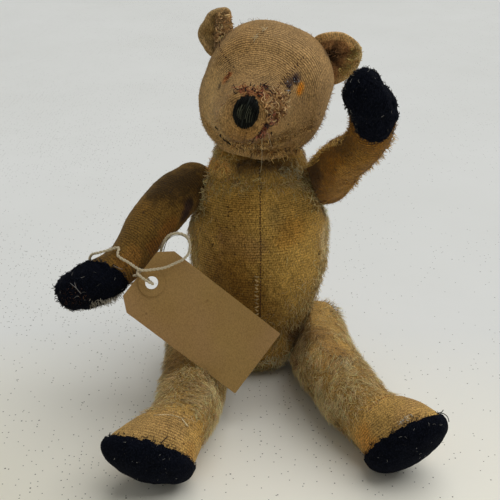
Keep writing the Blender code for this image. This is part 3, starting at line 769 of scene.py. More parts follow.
def ball(name, around, rows):
    """A ball added at the origin, and where each of its points lies: round it and from its foot."""
    bpy.ops.object.select_all(action="DESELECT")
    bpy.ops.mesh.primitive_uv_sphere_add(
        segments=around, ring_count=rows, radius=1.0, location=(0, 0, 0)
    )
    made = bpy.context.active_object
    made.name = made.data.name = name
    co = np.empty(len(made.data.vertices) * 3, np.float32)
    made.data.vertices.foreach_get("co", co)
    co = co.reshape(-1, 3).astype(float)
    around = np.arctan2(co[:, 1], co[:, 0]) % (2 * math.pi)
    return made, around, np.arccos(np.clip(-co[:, 2], -1, 1))


def lay_maps(made, around, along, length, girth):
    """Two flat maps: one in metres, for the weave, and one that fills the unit square."""
    mesh = made.data
    count = len(mesh.loops)
    vertex = np.empty(count, np.int32)
    mesh.loops.foreach_get("vertex_index", vertex)
    starts = np.empty(len(mesh.polygons), np.int32)
    mesh.polygons.foreach_get("loop_start", starts)
    face = np.searchsorted(starts, np.arange(count), side="right") - 1
    turn = around[vertex] / (2 * math.pi)
    pole = (along[vertex] < 1e-6) | (along[vertex] > length - 1e-6)
    low = np.full(len(starts), 9.0)
    high = np.full(len(starts), -9.0)
    np.minimum.at(low, face[~pole], turn[~pole])
    np.maximum.at(high, face[~pole], turn[~pole])
    wraps = (high - low)[face] > 0.5
    turn = np.where(wraps & (turn < 0.5) & ~pole, turn + 1, turn)
    mid = np.where(wraps, 1.0 - 0.5 / 64, (low[face] + high[face]) / 2)
    turn = np.where(pole, mid, turn)
    share = along[vertex] / length
    maps = ("weave", turn * girth, share * length), ("OFBake", turn * 0.984, 0.005 + share * 0.99)
    for name, u, v in maps:
        layer = mesh.uv_layers.new(name=name)
        layer.uv.foreach_set("vector", np.stack([u, v], axis=1).astype(np.float32).ravel())


def move_points(made, points):
    """Moves a ball's points to their places and drops the map that it came with."""
    made.data.vertices.foreach_set("co", points.astype(np.float32).ravel())
    while made.data.uv_layers:
        made.data.uv_layers.remove(made.data.uv_layers[0])


def cover_cloth(name, around, rows):
    """A sewn cover of worn backing cloth, wrapped from a ball onto the piece's skin."""
    form = skin(name)
    made, a, foot = ball(name + "_cloth", around, rows)
    v = foot / math.pi * form.length
    p, n = form.surface(np.clip(v, 1e-6, form.length - 1e-6), a)
    move_points(made, p)
    lay_maps(made, a, v, form.length, float(form.girth.max()))
    bare, left = wear(name, p, v, n)
    # Painted shade: the cloth is darker where long pile lies over it
    colour = cloth_colour(name, p) * (1 - 0.22 * left)[:, None]
    paint(made.data, np.concatenate([np.clip(colour, 0, 1), bare[:, None]], axis=1))
    made.data.shade_smooth()
    made.data.update()
    return made


# Fibres: each is a thin closed tapering spike of three sides


def grow(
    roots, normals, lean, rng, long, steps,
    lift=0.5, curl=0.0, sink=0.3, flop=0.5, wander=0.25, spread=0.5,
):
    """The line of each fibre from its root: (count, steps + 1, 3)."""
    count = len(roots)
    lean = unit(lean - normals * np.sum(lean * normals, axis=1, keepdims=True) + 1e-9)
    side = np.cross(normals, lean)
    turn = rng.normal(0, spread, count)
    twist = rng.normal(0, 1, count) * curl
    lines = [roots - normals * (sink * MM)]
    step = (long / steps)[:, None]
    for k in range(steps):
        share = (k + 0.5) / steps
        rise = lift * (1 - flop * share)
        flat = lean * np.cos(turn)[:, None] + side * np.sin(turn)[:, None]
        level = math.sqrt(max(1 - min(rise, 1) ** 2, 0.05))
        way = unit(normals * rise + flat * level + rng.normal(0, wander, (count, 3)))
        lines.append(lines[-1] + way * step)
        turn = turn + twist
    return np.stack(lines, axis=1)


def spikes(lines, thick, colours, tip_light=1.25):
    """Points, faces, colours and flat cells of closed tapering spikes along lines."""
    count, rows = lines.shape[:2]
    steps = rows - 1
    way = unit(np.gradient(lines, axis=1))
    a = unit(np.cross(way, (0.37, 0.61, 0.7)))
    b = np.cross(way, a)
    taper = np.linspace(1.0, 0.45, steps)
    rings = []
    for k in range(3):
        angle = 2 * math.pi * k / 3
        out = a[:, :-1] * math.cos(angle) + b[:, :-1] * math.sin(angle)
        rings.append(lines[:, :-1] + out * (thick[:, None, None] * taper[None, :, None] / 2))
    body = np.stack(rings, axis=2).reshape(count, steps * 3, 3)
    points = np.concatenate([body, lines[:, -1:]], axis=1)
    faces = [(0, 2, 1)]
    for s in range(steps - 1):
        for k in range(3):
            n = (k + 1) % 3
            low, high = s * 3, s * 3 + 3
            faces += [(low + k, low + n, high + n), (low + k, high + n, high + k)]
    top = (steps - 1) * 3
    faces += [(top + k, top + (k + 1) % 3, steps * 3) for k in range(3)]
    faces = np.array(faces)
    per = steps * 3 + 1
    all_faces = (faces[None] + (np.arange(count) * per)[:, None, None]).reshape(-1, 3)
    # Painted shade and light: each fibre is darker at its root, down in the pile, and lighter at
    # its tip as a painted highlight
    light = np.concatenate([np.repeat(np.linspace(0.62, 1.0, steps), 3), [tip_light]])
    tint = np.clip(colours[:, None, :] * light[None, :, None], 0, 1).reshape(-1, 3)
    side = math.ceil(math.sqrt(count))
    cell = np.stack([np.arange(count) % side, np.arange(count) // side], axis=1) / side
    u = np.concatenate([np.tile((0.15, 0.5, 0.85), steps), [0.5]])
    v = np.concatenate([np.repeat(np.linspace(0.1, 0.8, steps), 3), [0.9]])
    cells = (cell[:, None, :] + np.stack([u, v], axis=1)[None] / side).reshape(-1, 2)
    return points.reshape(-1, 3), all_faces, tint, cells


def down_over(name, p):
    """The way the pile was brushed at each place."""
    if name == "head":
        return unit(p - (HEAD + HEAD_FACE * MUZZLE_AHEAD * MM)) + DOWN * 0.3
    if name == "torso":
        return DOWN + np.sign(p[:, :1]) * np.array((-0.35, 0.0, 0.0))
    form = skin(name)
    return unit(form.table[-1, :3] - form.table[0, :3]) + DOWN * 0.5


def pile_piece(
    kind, name, count, long, thick, steps, keep, seed, swirls=(8, 1.1, 0.22), **shape
):
    """Fibres over a whole skin, thinned by keep(places, along, normals)."""
    rng = np.random.default_rng(seed)
    form = skin(name)
    v, a = form.scatter(rng, count)
    p, n = form.surface(v, a)
    kept = rng.random(count) < keep(p, v, n)
    for point, outwards in form.flats:
        beside = np.linalg.norm(np.cross(p - point, outwards), axis=1) > 8 * MM
        kept &= ((p - point) @ outwards < -0.35 * MM) | (beside & (abs(outwards[2]) < 0.6))
    if name.endswith("_arm"):
        kept &= pad_region(name[:-4])(p) > 0.97
    elif name.endswith("_leg"):
        kept &= sole_region(name[:-4])(p) > 1.0
    p, n, v = p[kept], n[kept], v[kept]
    swirl = swirls_of(p, swirls[0] * MM, seed)
    lean = unit(down_over(name, p)) + swirl * swirls[1] + rng.normal(0, swirls[2], (len(p), 3))
    size = rng.uniform(*long, len(p)) * MM
    lines = grow(p, n, lean, rng, size, steps, **shape)
    for point, outwards in form.flats:
        beside = np.linalg.norm(np.cross(lines - point, outwards), axis=-1)
        room = np.clip((beside - 12 * MM) * 0.25, 0.2 * MM, 2.5 * MM)
        room = room if outwards[2] > -0.6 else -0.1 * MM
        lines = lines - np.maximum((lines - point) @ outwards - room, 0)[..., None] * outwards
    dim, pale = (0.5, 1.6) if name.endswith("_leg") else (0.55, 1.5)
    shade = rng.uniform(dim, dim + 0.65, (len(p), 1)) * (1 + rng.normal(0, 0.05, (len(p), 3)))
    shade = shade * np.where(rng.random((len(p), 1)) < 0.24, pale, 1.0)
    colours = pile_colour(name, p) * shade
    width = rng.uniform(0.75, 1.2, len(p)) * thick * MM
    return mesh_object(f"{name}_{kind}", *spikes(lines, width, colours))


class Threads:
    """Sewing threads, strands and ends gathered into one piece: closed tubes along lines."""

    def __init__(self, form=None, rng=None):
        self.form, self.rng = form, rng
        self.points, self.faces, self.colours, self.count = [], [], [], 0

    def add(self, line, radius, colour, sides=5, taper=0.0):
        line = np.asarray(line, float)
        rows = len(line)
        radius = np.broadcast_to(np.asarray(radius, float), rows).copy()
        if taper:
            radius *= 1 - taper * np.linspace(0, 1, rows) ** 2
        way = unit(np.gradient(line, axis=0))
        a = np.cross(way[0], (0.31, 0.52, 0.79))
        rings = []
        for k in range(rows):
            a = unit(a - way[k] * (a @ way[k]))
            b = np.cross(way[k], a)
            for s in range(sides):
                angle = 2 * math.pi * s / sides
                rings.append(line[k] + (a * math.cos(angle) + b * math.sin(angle)) * radius[k])
        start, end = len(rings), len(rings) + 1
        rings += [line[0] - way[0] * radius[0] * 0.5, line[-1] + way[-1] * radius[-1] * 0.5]
        faces = []
        for k in range(rows - 1):
            for s in range(sides):
                n = (s + 1) % sides
                low, high = k * sides, (k + 1) * sides
                faces += [(low + s, low + n, high + n), (low + s, high + n, high + s)]
        for s in range(sides):
            n = (s + 1) % sides
            faces += [(start, n, s), (end, (rows - 1) * sides + s, (rows - 1) * sides + n)]
        self.points.append(np.array(rings))
        self.faces.append(np.array(faces) + self.count)
        self.colours.append(np.broadcast_to(np.asarray(colour, float), (len(rings), 3)))
        self.count += len(rings)

    def lay(self, path, steps, lift, radius, colour, sides):
        """A thread along a path on the cloth. Sizes in mm."""
        line = self.form.lay(smooth_line(np.array(path) * MM, steps), lift * MM)
        self.add(line, radius * MM, colour, sides)

    def sideways(self, normal, rise):
        """A random way over the cloth, which rises off it."""
        return unit(np.cross(normal, self.rng.normal(0, 1, 3))) + normal * rise

    def stitches(self, path, step, long, radius, colour, across=False, lift=0.14, slant=0.0):
        """Stitches along or across a seam, each with its ends sunk in the cloth. Sizes in mm."""
        form, rng = self.form, self.rng
        line = form.lay(smooth_line(np.array(path, float) * MM, 16))
        run = running(np.linalg.norm(np.diff(line, axis=0), axis=1))
        for k in range(int(run[-1] / (step * MM))):
            at = (k + 0.5 + rng.normal(0, 0.08)) * step * MM
            here = np.array([np.interp(at, run, line[:, axis]) for axis in range(3)])
            there = np.array([np.interp(at + 0.3 * MM, run, line[:, axis]) for axis in range(3)])
            way = unit(there - here)
            if across:
                over = np.cross(form.nearest([here])[1][0], way)
                way = unit(over + way * (slant * (1 if k % 2 else -0.3) + rng.normal(0, 0.2)))
            size = long * rng.uniform(0.8, 1.15) * MM / 2
            spots = [here + way * size * t for t in (-1, -0.5, 0, 0.5, 1)]
            high = np.array((-0.15, 0.8, 1.0, 0.8, -0.15)) * lift * MM
            thick = radius * MM * rng.uniform(0.85, 1.15)
            self.add(form.lay(spots, high), thick, colour * rng.uniform(0.6, 1.3), 5)

    def curly(self, root, way, long, radius, colour, curl=0.6, steps=9, pull=(0, 0, 0), taper=0.6):
        """A loose end that wanders from its root. Sizes in mm."""
        rng = self.rng
        way = unit(np.array(way, float))
        turn = unit(rng.normal(0, 1, 3))
        line = [np.array(root, float)]
        for _ in range(steps):
            line.append(line[-1] + way * (long / steps) * MM)
            turn = unit(turn + rng.normal(0, 0.5, 3))
            way = unit(way + np.cross(way, turn) * curl + rng.normal(0, 0.12, 3) + np.array(pull))
        self.add(smooth_line(line, 2), radius * MM, np.clip(colour, 0, 1), 3, taper)

    def tangle(
        self, ends, reach, count, long, radius, colours,
        rise=0.35, curl=0.7, pull=(0, 0, 0), steps=7,
    ):
        """Loose ends over the cloth near a line between two ends."""
        rng = self.rng
        a, b = (np.array(end, float) for end in ends)
        spots = a + (b - a) * rng.random((count, 1)) + rng.normal(0, reach / 2, (count, 3))
        for place, normal in zip(*self.form.nearest(spots * MM)):
            way = self.sideways(normal, rise)
            tone = colours[rng.integers(len(colours))] * rng.uniform(0.55, 1.35)
            size = rng.uniform(*long)
            thick = radius * rng.uniform(0.7, 1.3)
            self.curly(place - normal * 0.1 * MM, way, size, thick, tone, curl, steps, pull)

    def finish(self, name, body, slot, material, *nodes):
        finish_piece(self.piece(name), body, slot, material, *nodes)

    def piece(self, name):
        rows = (np.concatenate(rows) for rows in (self.points, self.faces, self.colours))
        return mesh_object(name, *rows)


# Materials


class Nodes:
    """Short ways to add shader nodes and wire them."""

    def __init__(self, tree):
        self.tree = tree

    def put(self, socket, value):
        if isinstance(value, bpy.types.NodeSocket):
            self.tree.links.new(value, socket)
        elif socket.type == "RGBA" and len(value) == 3:
            socket.default_value = (*value, 1.0)
        else:
            socket.default_value = value

    def add(self, kind, settings=None, inputs=None):
        made = self.tree.nodes.new("ShaderNode" + kind)
        for key, value in (settings or {}).items():
            setattr(made, key, value)
        for key, value in (inputs or {}).items():
            self.put(made.inputs[key], value)
        return made

    def math(self, operation, a, b=0.0):
        return self.add("Math", {"operation": operation}, {0: a, 1: b}).outputs[0]

    def times(self, first, *others):
        for other in others:
            first = self.math("MULTIPLY", first, other)
        return first

    def axis(self, value, number):
        return self.add("SeparateXYZ", None, {0: value}).outputs[number]

    def between(self, value, low, high, to_low=0.0, to_high=1.0):
        numbers = {
            "Value": value, "From Min": low, "From Max": high, "To Min": to_low, "To Max": to_high
        }
        return self.add("MapRange", {"clamp": True}, numbers).outputs[0]

    def mix(self, share, a, b, blend="MIX"):
        made = self.add("Mix", {"data_type": "RGBA", "blend_type": blend, "clamp_result": False})
        self.put(made.inputs[0], share)
        self.put(made.inputs[6], a)
        self.put(made.inputs[7], b)
        return made.outputs[2]

    def stain(self, share, base, *rgb):
        """A colour with a share of a paint chart's colour in it."""
        return self.mix(share, base, linear(*rgb))

    def darken(self, share, base, *by):
        """A colour with a share of its darker or lighter self in it."""
        return self.mix(share, base, self.mix(1.0, base, by, "MULTIPLY"))

    def shade(self, base, value):
        """A colour multiplied by a number."""
        grey = self.add("CombineXYZ", None, {0: value, 1: value, 2: value}).outputs[0]
        return self.mix(1.0, base, grey, "MULTIPLY")

    def noise(self, where, scale, detail=3.0, rough=0.6):
        inputs = {"Vector": where, "Scale": scale, "Detail": detail, "Roughness": rough}
        return self.add("TexNoise", None, inputs).outputs["Fac"]

    def group(self, group, inputs):
        made = self.tree.nodes.new("ShaderNodeGroup")
        made.node_tree = group
        for key, value in inputs.items():
            self.put(made.inputs[key], value)
        return made.outputs


def new_group(name, inputs, outputs):
    """(group, its nodes, its input sockets, a function that sets an output)."""
    tree = bpy.data.node_groups.new(name, "ShaderNodeTree")
    for label, kind, value in inputs:
        socket = tree.interface.new_socket(name=label, in_out="INPUT", socket_type=kind)
        if value is not None:
            socket.default_value = value
    for label, kind in outputs:
        tree.interface.new_socket(name=label, in_out="OUTPUT", socket_type=kind)
    start, end = tree.nodes.new("NodeGroupInput"), tree.nodes.new("NodeGroupOutput")
    nodes = Nodes(tree)
    return tree, nodes, start.outputs, lambda label, value: tree.links.new(value, end.inputs[label])


NUMBER, VECTOR = "NodeSocketFloat", "NodeSocketVector"


def made_once(maker):
    """Each material or group is made the first time that it is asked for."""
    kept = {}

    def ask(*key):
        if key not in kept:
            kept[key] = maker(*key)
        return kept[key]

    return ask


@made_once
def ribs_group():
    """The ribs of a worn pile backing, which run round a piece, crossed by its warp."""
    inputs = (
        ("Map", VECTOR, None), ("Where", VECTOR, None),
        ("Pitch", NUMBER, 0.0013), ("Wander", NUMBER, 0.0005), ("Even", NUMBER, 0.0),
    )
    outputs = (("Rib", NUMBER), ("Knots", NUMBER), ("Height", NUMBER))
    tree, nodes, given, give = new_group("Backing ribs", inputs, outputs)
    parts = nodes.add("SeparateXYZ", None, {0: given["Map"]}).outputs
    wobble = nodes.math("SUBTRACT", nodes.noise(given["Where"], 90.0, 2.0), 0.5)
    along = nodes.math("ADD", parts[1], nodes.times(wobble, given["Wander"]))
    row = nodes.math("DIVIDE", along, given["Pitch"])
    rib = nodes.between(nodes.math("SINE", nodes.times(row, 2 * math.pi)), 0.1, 0.85)
    across = nodes.math("DIVIDE", parts[0], nodes.times(given["Pitch"], 0.62))
    phase = nodes.times(nodes.math("FLOOR", row), 2.4)
    knots = nodes.math("SINE", nodes.math("ADD", nodes.times(across, 2 * math.pi), phase))
    knots = nodes.between(knots, -0.6, 1.0)
    broken = nodes.between(nodes.noise(given["Where"], 700.0, 3.0, 0.6), 0.3, 0.5, 0.5, 1.0)
    faded = nodes.between(nodes.noise(given["Where"], 60.0, 3.0), 0.36, 0.62, 0.3, 1.0)
    worn = nodes.times(rib, nodes.times(broken, nodes.math("MAXIMUM", faded, given["Even"])))
    give("Rib", nodes.times(worn, nodes.between(knots, 0.0, 1.0, 1.0, 0.75)))
    give("Knots", knots)
    give("Height", nodes.math("SUBTRACT", nodes.times(knots, 0.35), worn))
    return tree


@made_once
def soil_group():
    """Grime: soft mottling, fine fibres and small dark specks."""
    inputs = (("Where", VECTOR, None), ("Scale", NUMBER, 1.0), ("Specks", NUMBER, 0.5))
    outputs = (("Mottle", NUMBER), ("Fibres", NUMBER), ("Speck", NUMBER))
    tree, nodes, given, give = new_group("Soil", inputs, outputs)
    where, scale = given["Where"], given["Scale"]
    give("Mottle", nodes.noise(where, nodes.times(scale, 160.0), 5.0, 0.65))
    stretched = nodes.add(
        "Mapping", {"vector_type": "POINT"}, {"Vector": where, "Scale": (1.0, 1.0, 0.6)}
    )
    give("Fibres", nodes.noise(stretched.outputs[0], nodes.times(scale, 1700.0), 2.0, 0.6))
    cells = nodes.add("TexVoronoi", {"feature": "F1"}, {"Vector": where, "Scale": 330.0}).outputs
    near = nodes.between(cells["Distance"], 0.26, 0.1)
    chance = nodes.add("SeparateColor", None, {0: cells["Color"]}).outputs[0]
    chosen = nodes.math("LESS_THAN", chance, nodes.times(given["Specks"], 0.16))
    give("Speck", nodes.times(near, chosen))
    return tree


def new_material(name, **soil):
    """(material, nodes, shader, a place on the piece, its grime)."""
    material = bpy.data.materials.new(name)
    material.use_nodes = True
    nodes = Nodes(material.node_tree)
    where = nodes.add("TexCoord").outputs["Object"]
    grime = nodes.group(soil_group(), {"Where": where, **soil})
    return material, nodes, material.node_tree.nodes["Principled BSDF"], where, grime


def set_shader(nodes, shader, base, rough, bump=None, **numbers):
    """Wires colour, roughness and bump (strength, distance, height), and sets the constants."""
    nodes.put(shader.inputs["Base Color"], base)
    nodes.put(shader.inputs["Roughness"], rough)
    for label, value in numbers.items():
        shader.inputs[label.replace("_", " ")].default_value = value
    if bump:
        made = nodes.add("Bump", None, dict(zip(("Strength", "Distance", "Height"), bump)))
        nodes.put(shader.inputs["Normal"], made.outputs[0])


def dyed_and_shaded(nodes):
    """The colour and the bareness that each point was given."""
    settings = {"attribute_name": "dye", "attribute_type": "GEOMETRY"}
    made = nodes.add("Attribute", settings).outputs
    return made["Color"], made["Alpha"]


@made_once
def backing_material(name, pitch, even, deep):
    """Worn backing cloth, ribbed, soiled and furred with what is left of its pile."""
    material, nodes, shader, where, soil = new_material(name)
    weave = nodes.add("UVMap", {"uv_map": "weave"}).outputs[0]
    dye, bare = dyed_and_shaded(nodes)
    ribs = nodes.group(ribs_group(), {"Map": weave, "Where": where, "Pitch": pitch, "Even": even})
    base = nodes.shade(dye, nodes.between(soil["Mottle"], 0.3, 0.7, 0.8, 1.18))
    base = nodes.shade(base, nodes.between(soil["Fibres"], 0.36, 0.64, 0.52, 1.5))
    base = nodes.darken(nodes.times(ribs["Knots"], bare, 0.55), base, 1.5, 1.5, 1.45)
    base = nodes.darken(nodes.times(ribs["Rib"], bare, deep), base, 0.26, 0.19, 0.14)
    base = nodes.stain(nodes.times(soil["Speck"], 0.8), base, 48, 34, 24)
    height = nodes.math("ADD", nodes.times(ribs["Height"], bare, 0.6), soil["Fibres"])
    set_shader(
        nodes, shader, base, nodes.between(soil["Mottle"], 0.2, 0.8, 0.98, 0.84), (
            0.7, 0.00035, height
        ),
        Specular_IOR_Level=0.2, Sheen_Weight=0.12, Sheen_Roughness=0.5, Sheen_Tint=(
            0.9, 0.78, 0.55, 1.0
        ),
    )
    return material


@made_once
def fibre_material(name, sheen, rough, shine=0.3):
    """Fibres and threads in the colours they were given, uneven along their length."""
    material, nodes, shader, _, soil = new_material(name, Scale=1.6, Specks=0.1)
    base = nodes.shade(dyed_and_shaded(nodes)[0], nodes.between(soil["Fibres"], 0.3, 0.7, 0.78, 1.2))
    set_shader(
        nodes, shader, base, nodes.between(soil["Mottle"], 0.2, 0.8, rough + 0.1, rough - 0.08),
        Specular_IOR_Level=shine, Sheen_Weight=sheen, Sheen_Roughness=0.4,
    )
    return material


def mohair():
    return fibre_material("Mohair", 0.15, 0.75)


@made_once
def felt_material():
    """Black felt, matted, with lint and dust in it."""
    material, nodes, shader, where, soil = new_material("Black felt", Scale=1.2)
    lint = nodes.between(nodes.noise(where, 900.0, 5.0, 0.8), 0.62, 0.72)
    base = nodes.stain(nodes.between(soil["Mottle"], 0.3, 0.75), linear(4, 6, 11), 10, 13, 23)
    base = nodes.stain(nodes.between(soil["Fibres"], 0.45, 0.7), base, 24, 27, 38)
    base = nodes.stain(nodes.times(lint, 0.3), base, 120, 116, 110)
    height = nodes.math("ADD", soil["Fibres"], nodes.times(soil["Mottle"], 1.5))
    set_shader(
        nodes, shader, base, nodes.between(soil["Mottle"], 0.2, 0.8, 0.98, 0.88), (
            0.9, 0.0005, height
        ),
        Specular_IOR_Level=0.03, Sheen_Weight=0.015, Sheen_Tint=(0.5, 0.55, 0.8, 1.0),
    )
    return material


@made_once
def card_material():
    """Buff manila card, with its fibres, faint mottling and soft handling marks."""
    material, nodes, shader, where, soil = new_material("Buff card", Scale=1.2, Specks=0.12)
    buff = tuple(bpy.context.scene.teddy_bear.card)
    buff = nodes.stain(nodes.between(nodes.noise(where, 28.0, 3.0), 0.35, 0.7), buff, 164, 130, 78)
    handled = nodes.between(nodes.noise(where, 22.0, 2.0), 0.45, 0.7, 0.0, 0.5)
    buff = nodes.stain(handled, buff, 176, 138, 100)
    buff = nodes.shade(buff, nodes.between(soil["Fibres"], 0.36, 0.64, 0.84, 1.14))
    buff = nodes.stain(nodes.between(soil["Mottle"], 0.55, 0.8, 0.0, 0.3), buff, 150, 118, 74)
    buff = nodes.stain(nodes.times(soil["Speck"], 0.5), buff, 110, 84, 52)
    rough = nodes.between(soil["Mottle"], 0.3, 0.7, 0.86, 0.7)
    set_shader(nodes, shader, buff, rough, (0.25, 0.0001, soil["Fibres"]), Specular_IOR_Level=0.3)
    return material


@made_once
def plain_material(name, colour, other, rough, metal):
    """Fibre board or steel, with its grain."""
    material, nodes, shader, _, soil = new_material(name, Scale=1.5, Specks=0.4)
    base = nodes.stain(nodes.between(soil["Mottle"], 0.3, 0.7), linear(*colour), *other)
    base = nodes.stain(nodes.times(soil["Speck"], 0.6), base, 60, 36, 22)
    rough = nodes.between(soil["Fibres"], 0.3, 0.7, rough, rough + 0.12)
    set_shader(nodes, shader, base, rough, (0.4, 0.0001, soil["Fibres"]), Metallic=metal)
    return material


@made_once
def floor_material():
    """A pale painted table top with a few specks."""
    material, nodes, shader, where, _ = new_material("Pale table")
    patchy = nodes.between(nodes.noise(where, 5.0, 4.0), 0.3, 0.7)
    base = nodes.stain(patchy, linear(232, 235, 236), 227, 230, 230)
    # Painted light: the table is lighter towards the front
    near = nodes.between(nodes.axis(where, 1), 0.02, -0.15)
    base = nodes.stain(near, base, 250, 248, 236)
    # Painted shade: darker at the front left
    left = nodes.between(nodes.axis(where, 0), -0.04, -0.15)
    base = nodes.stain(nodes.times(near, left), base, 218, 215, 198)
    crowd = nodes.between(nodes.noise(where, 7.0, 2.0), 0.35, 0.65, 0.15, 2.6)
    crowd = nodes.times(crowd, nodes.between(nodes.axis(where, 0), 0.1, -0.08, 0.35, 1.1))
    flat = {"feature": "F1", "voronoi_dimensions": "2D"}
    for scale, size, chance in ((70.0, 0.035, 0.08), (160.0, 0.065, 0.13), (330.0, 0.11, 0.15)):
        cells = nodes.add("TexVoronoi", flat, {"Vector": where, "Scale": scale}).outputs
        dot = nodes.between(cells["Distance"], size, size * 0.5)
        picked = nodes.add("SeparateColor", None, {0: cells["Color"]}).outputs[0]
        chosen = nodes.math("LESS_THAN", picked, nodes.times(crowd, chance))
        base = nodes.stain(nodes.times(dot, chosen, 0.95), base, 44, 40, 36)
    rough = nodes.between(nodes.noise(where, 30.0), 0.3, 0.7, 0.5, 0.6)
    set_shader(nodes, shader, base, rough, Specular_IOR_Level=0.3)
    return material


# Pieces


# Piece: points round its cover, rows along it, short fibres, long curls, and their length in mm
COVERS = {
    "torso": (168, 132, 19000, 18000, (2.4, 6.0)),
    "head": (176, 150, 21500, 10500, (1.2, 3.2)),
    "right_arm": (96, 128, 9500, 3500, (1.0, 2.4)),
    "left_arm": (96, 128, 9000, 7000, (1.5, 3.6)),
    "left_leg": (120, 140, 11500, 19000, (3.5, 7.5)),
    "right_leg": (120, 140, 11500, 19000, (3.5, 7.5)),
}


class BearSettings(bpy.types.PropertyGroup):
    """What a user would change."""

    string_diameter: bpy.props.FloatProperty(
        name="String", description="Thickness of the label's string",
        default=STRING_DIAMETER, min=0.0008, max=0.003, unit="LENGTH",
    )
    pile_share: bpy.props.FloatProperty(
        name="Pile left", description="Share of the mohair that is left",
        default=1.0, min=0.05, max=1.5, subtype="FACTOR",
    )
    card: bpy.props.FloatVectorProperty(
        name="Card", description="Colour of the label",
        default=tuple(linear(169, 137, 82)), size=3, min=0, max=1, subtype="COLOR",
    )
    string: bpy.props.FloatVectorProperty(
        name="String colour", description="Colour of the string",
        default=tuple(linear(206, 194, 166)), size=3, min=0, max=1, subtype="COLOR",
    )


class BearOperator(bpy.types.Operator):
    """Base of the bear's operators."""

    bl_options = {"REGISTER", "UNDO"}

    def execute(self, context):
        self.make(context.scene.teddy_bear)
        return {"FINISHED"}


class TEDDY_OT_string(BearOperator):
    """Adds the two-ply string from its loose end round the wrist to the label's hole"""

    bl_idname = "teddy.string"
    bl_label = "Label string"

    def make(self, settings):
        path = smooth_line(np.array(STRING_PATH) * MM, 14)
        run = running(np.linalg.norm(np.diff(path, axis=0), axis=1))
        count = int(run[-1] / STRING_STEP)
        places = np.linspace(0, run[-1], count)
        even = np.stack([np.interp(places, run, path[:, k]) for k in range(3)], axis=1)
        way = unit(np.gradient(even, axis=0))
        a = np.cross(way[0], (0.2, 0.9, 0.4))
        sides = []
        for k in range(count):
            a = unit(a - way[k] * (a @ way[k]))
            sides.append((a, np.cross(way[k], a)))
        sides = np.array(sides)
        diameter, colour = settings.string_diameter, np.array(settings.string)
        cotton = fibre_material("Cotton string", 0.2, 0.85)
        rng = np.random.default_rng(5)
        threads = Threads()
        angle = np.linspace(0, run[-1] / STRING_TWIST * 2 * math.pi, count)
        for ply in (0, math.pi):
            turn = angle[:, None] + ply
            turned = sides[:, 0] * np.cos(turn) + sides[:, 1] * np.sin(turn)
            thick = diameter * 0.3 * (1 + 0.06 * rng.standard_normal(count))
            threads.add(even + turned * diameter * 0.225, thick, colour, 7)
        frays = Threads()
        first = int(count * 0.13)
        for _ in range(7):
            shift = (np.linspace(1, 0, first)[:, None] ** 1.5) * rng.normal(0, 1.5, 3) * MM
            shift = shift + rng.normal(0, 0.35, 3) * MM
            strand = even[:first][::4] + shift[::4] + DOWN * 0.6 * MM
            frays.add(strand, 0.12 * MM, colour * rng.uniform(0.35, 0.8), 4)
        made = threads.piece("wrist_string")
        finish_piece(made, "right_arm", "cotton_string", cotton, "label_string")
        frays.finish("string_frays", "right_arm", "cotton_string", cotton)


class TEDDY_OT_covers(BearOperator):
    """Adds the sewn covers of the torso, head, arms and legs"""

    bl_idname = "teddy.covers"
    bl_label = "Cloth covers"

    def make(self, settings):
        for name, (around, rows, *_) in COVERS.items():
            made = cover_cloth(name, around, rows)
            look = (1.12 * MM, 0.8, 1.0) if name == "head" else (1.3 * MM, 0.0, 0.86)
            cloth = backing_material("Worn backing of the " + name, *look)
            finish_piece(made, name, CLOTH_SLOT, cloth, name + "_cover", name + "_stuffing")


def ear_axes(side):
    """The ear's base, the way along it, the way out from the head and the way it opens."""
    base, along, out = (np.array(v, float) for v in EARS[side][:3])
    way = -1 if side == "right" else 1
    along = unit(along)
    ahead = unit(np.cross(out, along)) * way
    return base * MM, along, unit(np.cross(along, ahead)) * way, ahead


def ear_places(side, share, angle):
    """The ear's cloth from its base (0) to its rim (1), at an angle round it."""
    base, along, out, ahead = ear_axes(side)
    half, tall, cup = (v * MM for v in EARS[side][3:])
    tall = np.where(np.sin(angle) < 0, tall * 0.5, tall)
    spot = along * (half * np.cos(angle))[..., None] + out * (tall * np.sin(angle))[..., None]
    bend = cup * share**2 * (0.45 + 0.45 * np.cos(angle) ** 2)
    fold = (2.3 if side == "left" else 1.5) * MM * share * (1 - share * 0.5)
    fold = fold * np.sin(angle * 6 + 1.3) * np.sin(angle)
    return base + spot * share[..., None] + ahead * (bend + fold)[..., None]


def ear_surface(side, share, angle, face):
    """(places, normals) on the ear's front (face 1) or back (-1)."""
    ahead = ear_axes(side)[3]
    e = 0.02
    low = np.clip(share - e, 0.001, 1)
    across = ear_places(side, low, angle + 0.03) - ear_places(side, low, angle - 0.03)
    outwards = ear_places(side, np.clip(share + e, 0, 1.2), angle) - ear_places(side, low, angle)
    n = unit(np.cross(across, outwards))
    n = n * np.sign(n @ ahead)[..., None]
    mid = ear_places(side, share, angle)
    round_rim = np.sqrt(np.clip(1 - share**4, 0, 1))
    thick = np.where(face > 0, 0.32, 0.68) * EAR_THICK * round_rim
    lump = lumps(mid, 4.0 * MM, 101) * 0.5 + lumps(mid, 1.7 * MM, 102) * 0.22
    off = thick * face + lump * MM * round_rim * face
    return mid + n * off[..., None], n * np.where(face > 0, 1.0, -1.0)[..., None]


GREENISH = ((45, -4, 161), (40.5, -5.5, 151.5))
# Pale worn cloth at the ears' rims, paler still as a painted highlight
EAR_RIM_AND_HIGHLIGHT = linear(188, 156, 108)
EAR_CLOTH = {
    # side: colours of the inner and the outer cloth
    "right": (linear(255, 212, 154), linear(132, 108, 66)),
    "left": (linear(166, 124, 82), linear(164, 128, 84)),
}


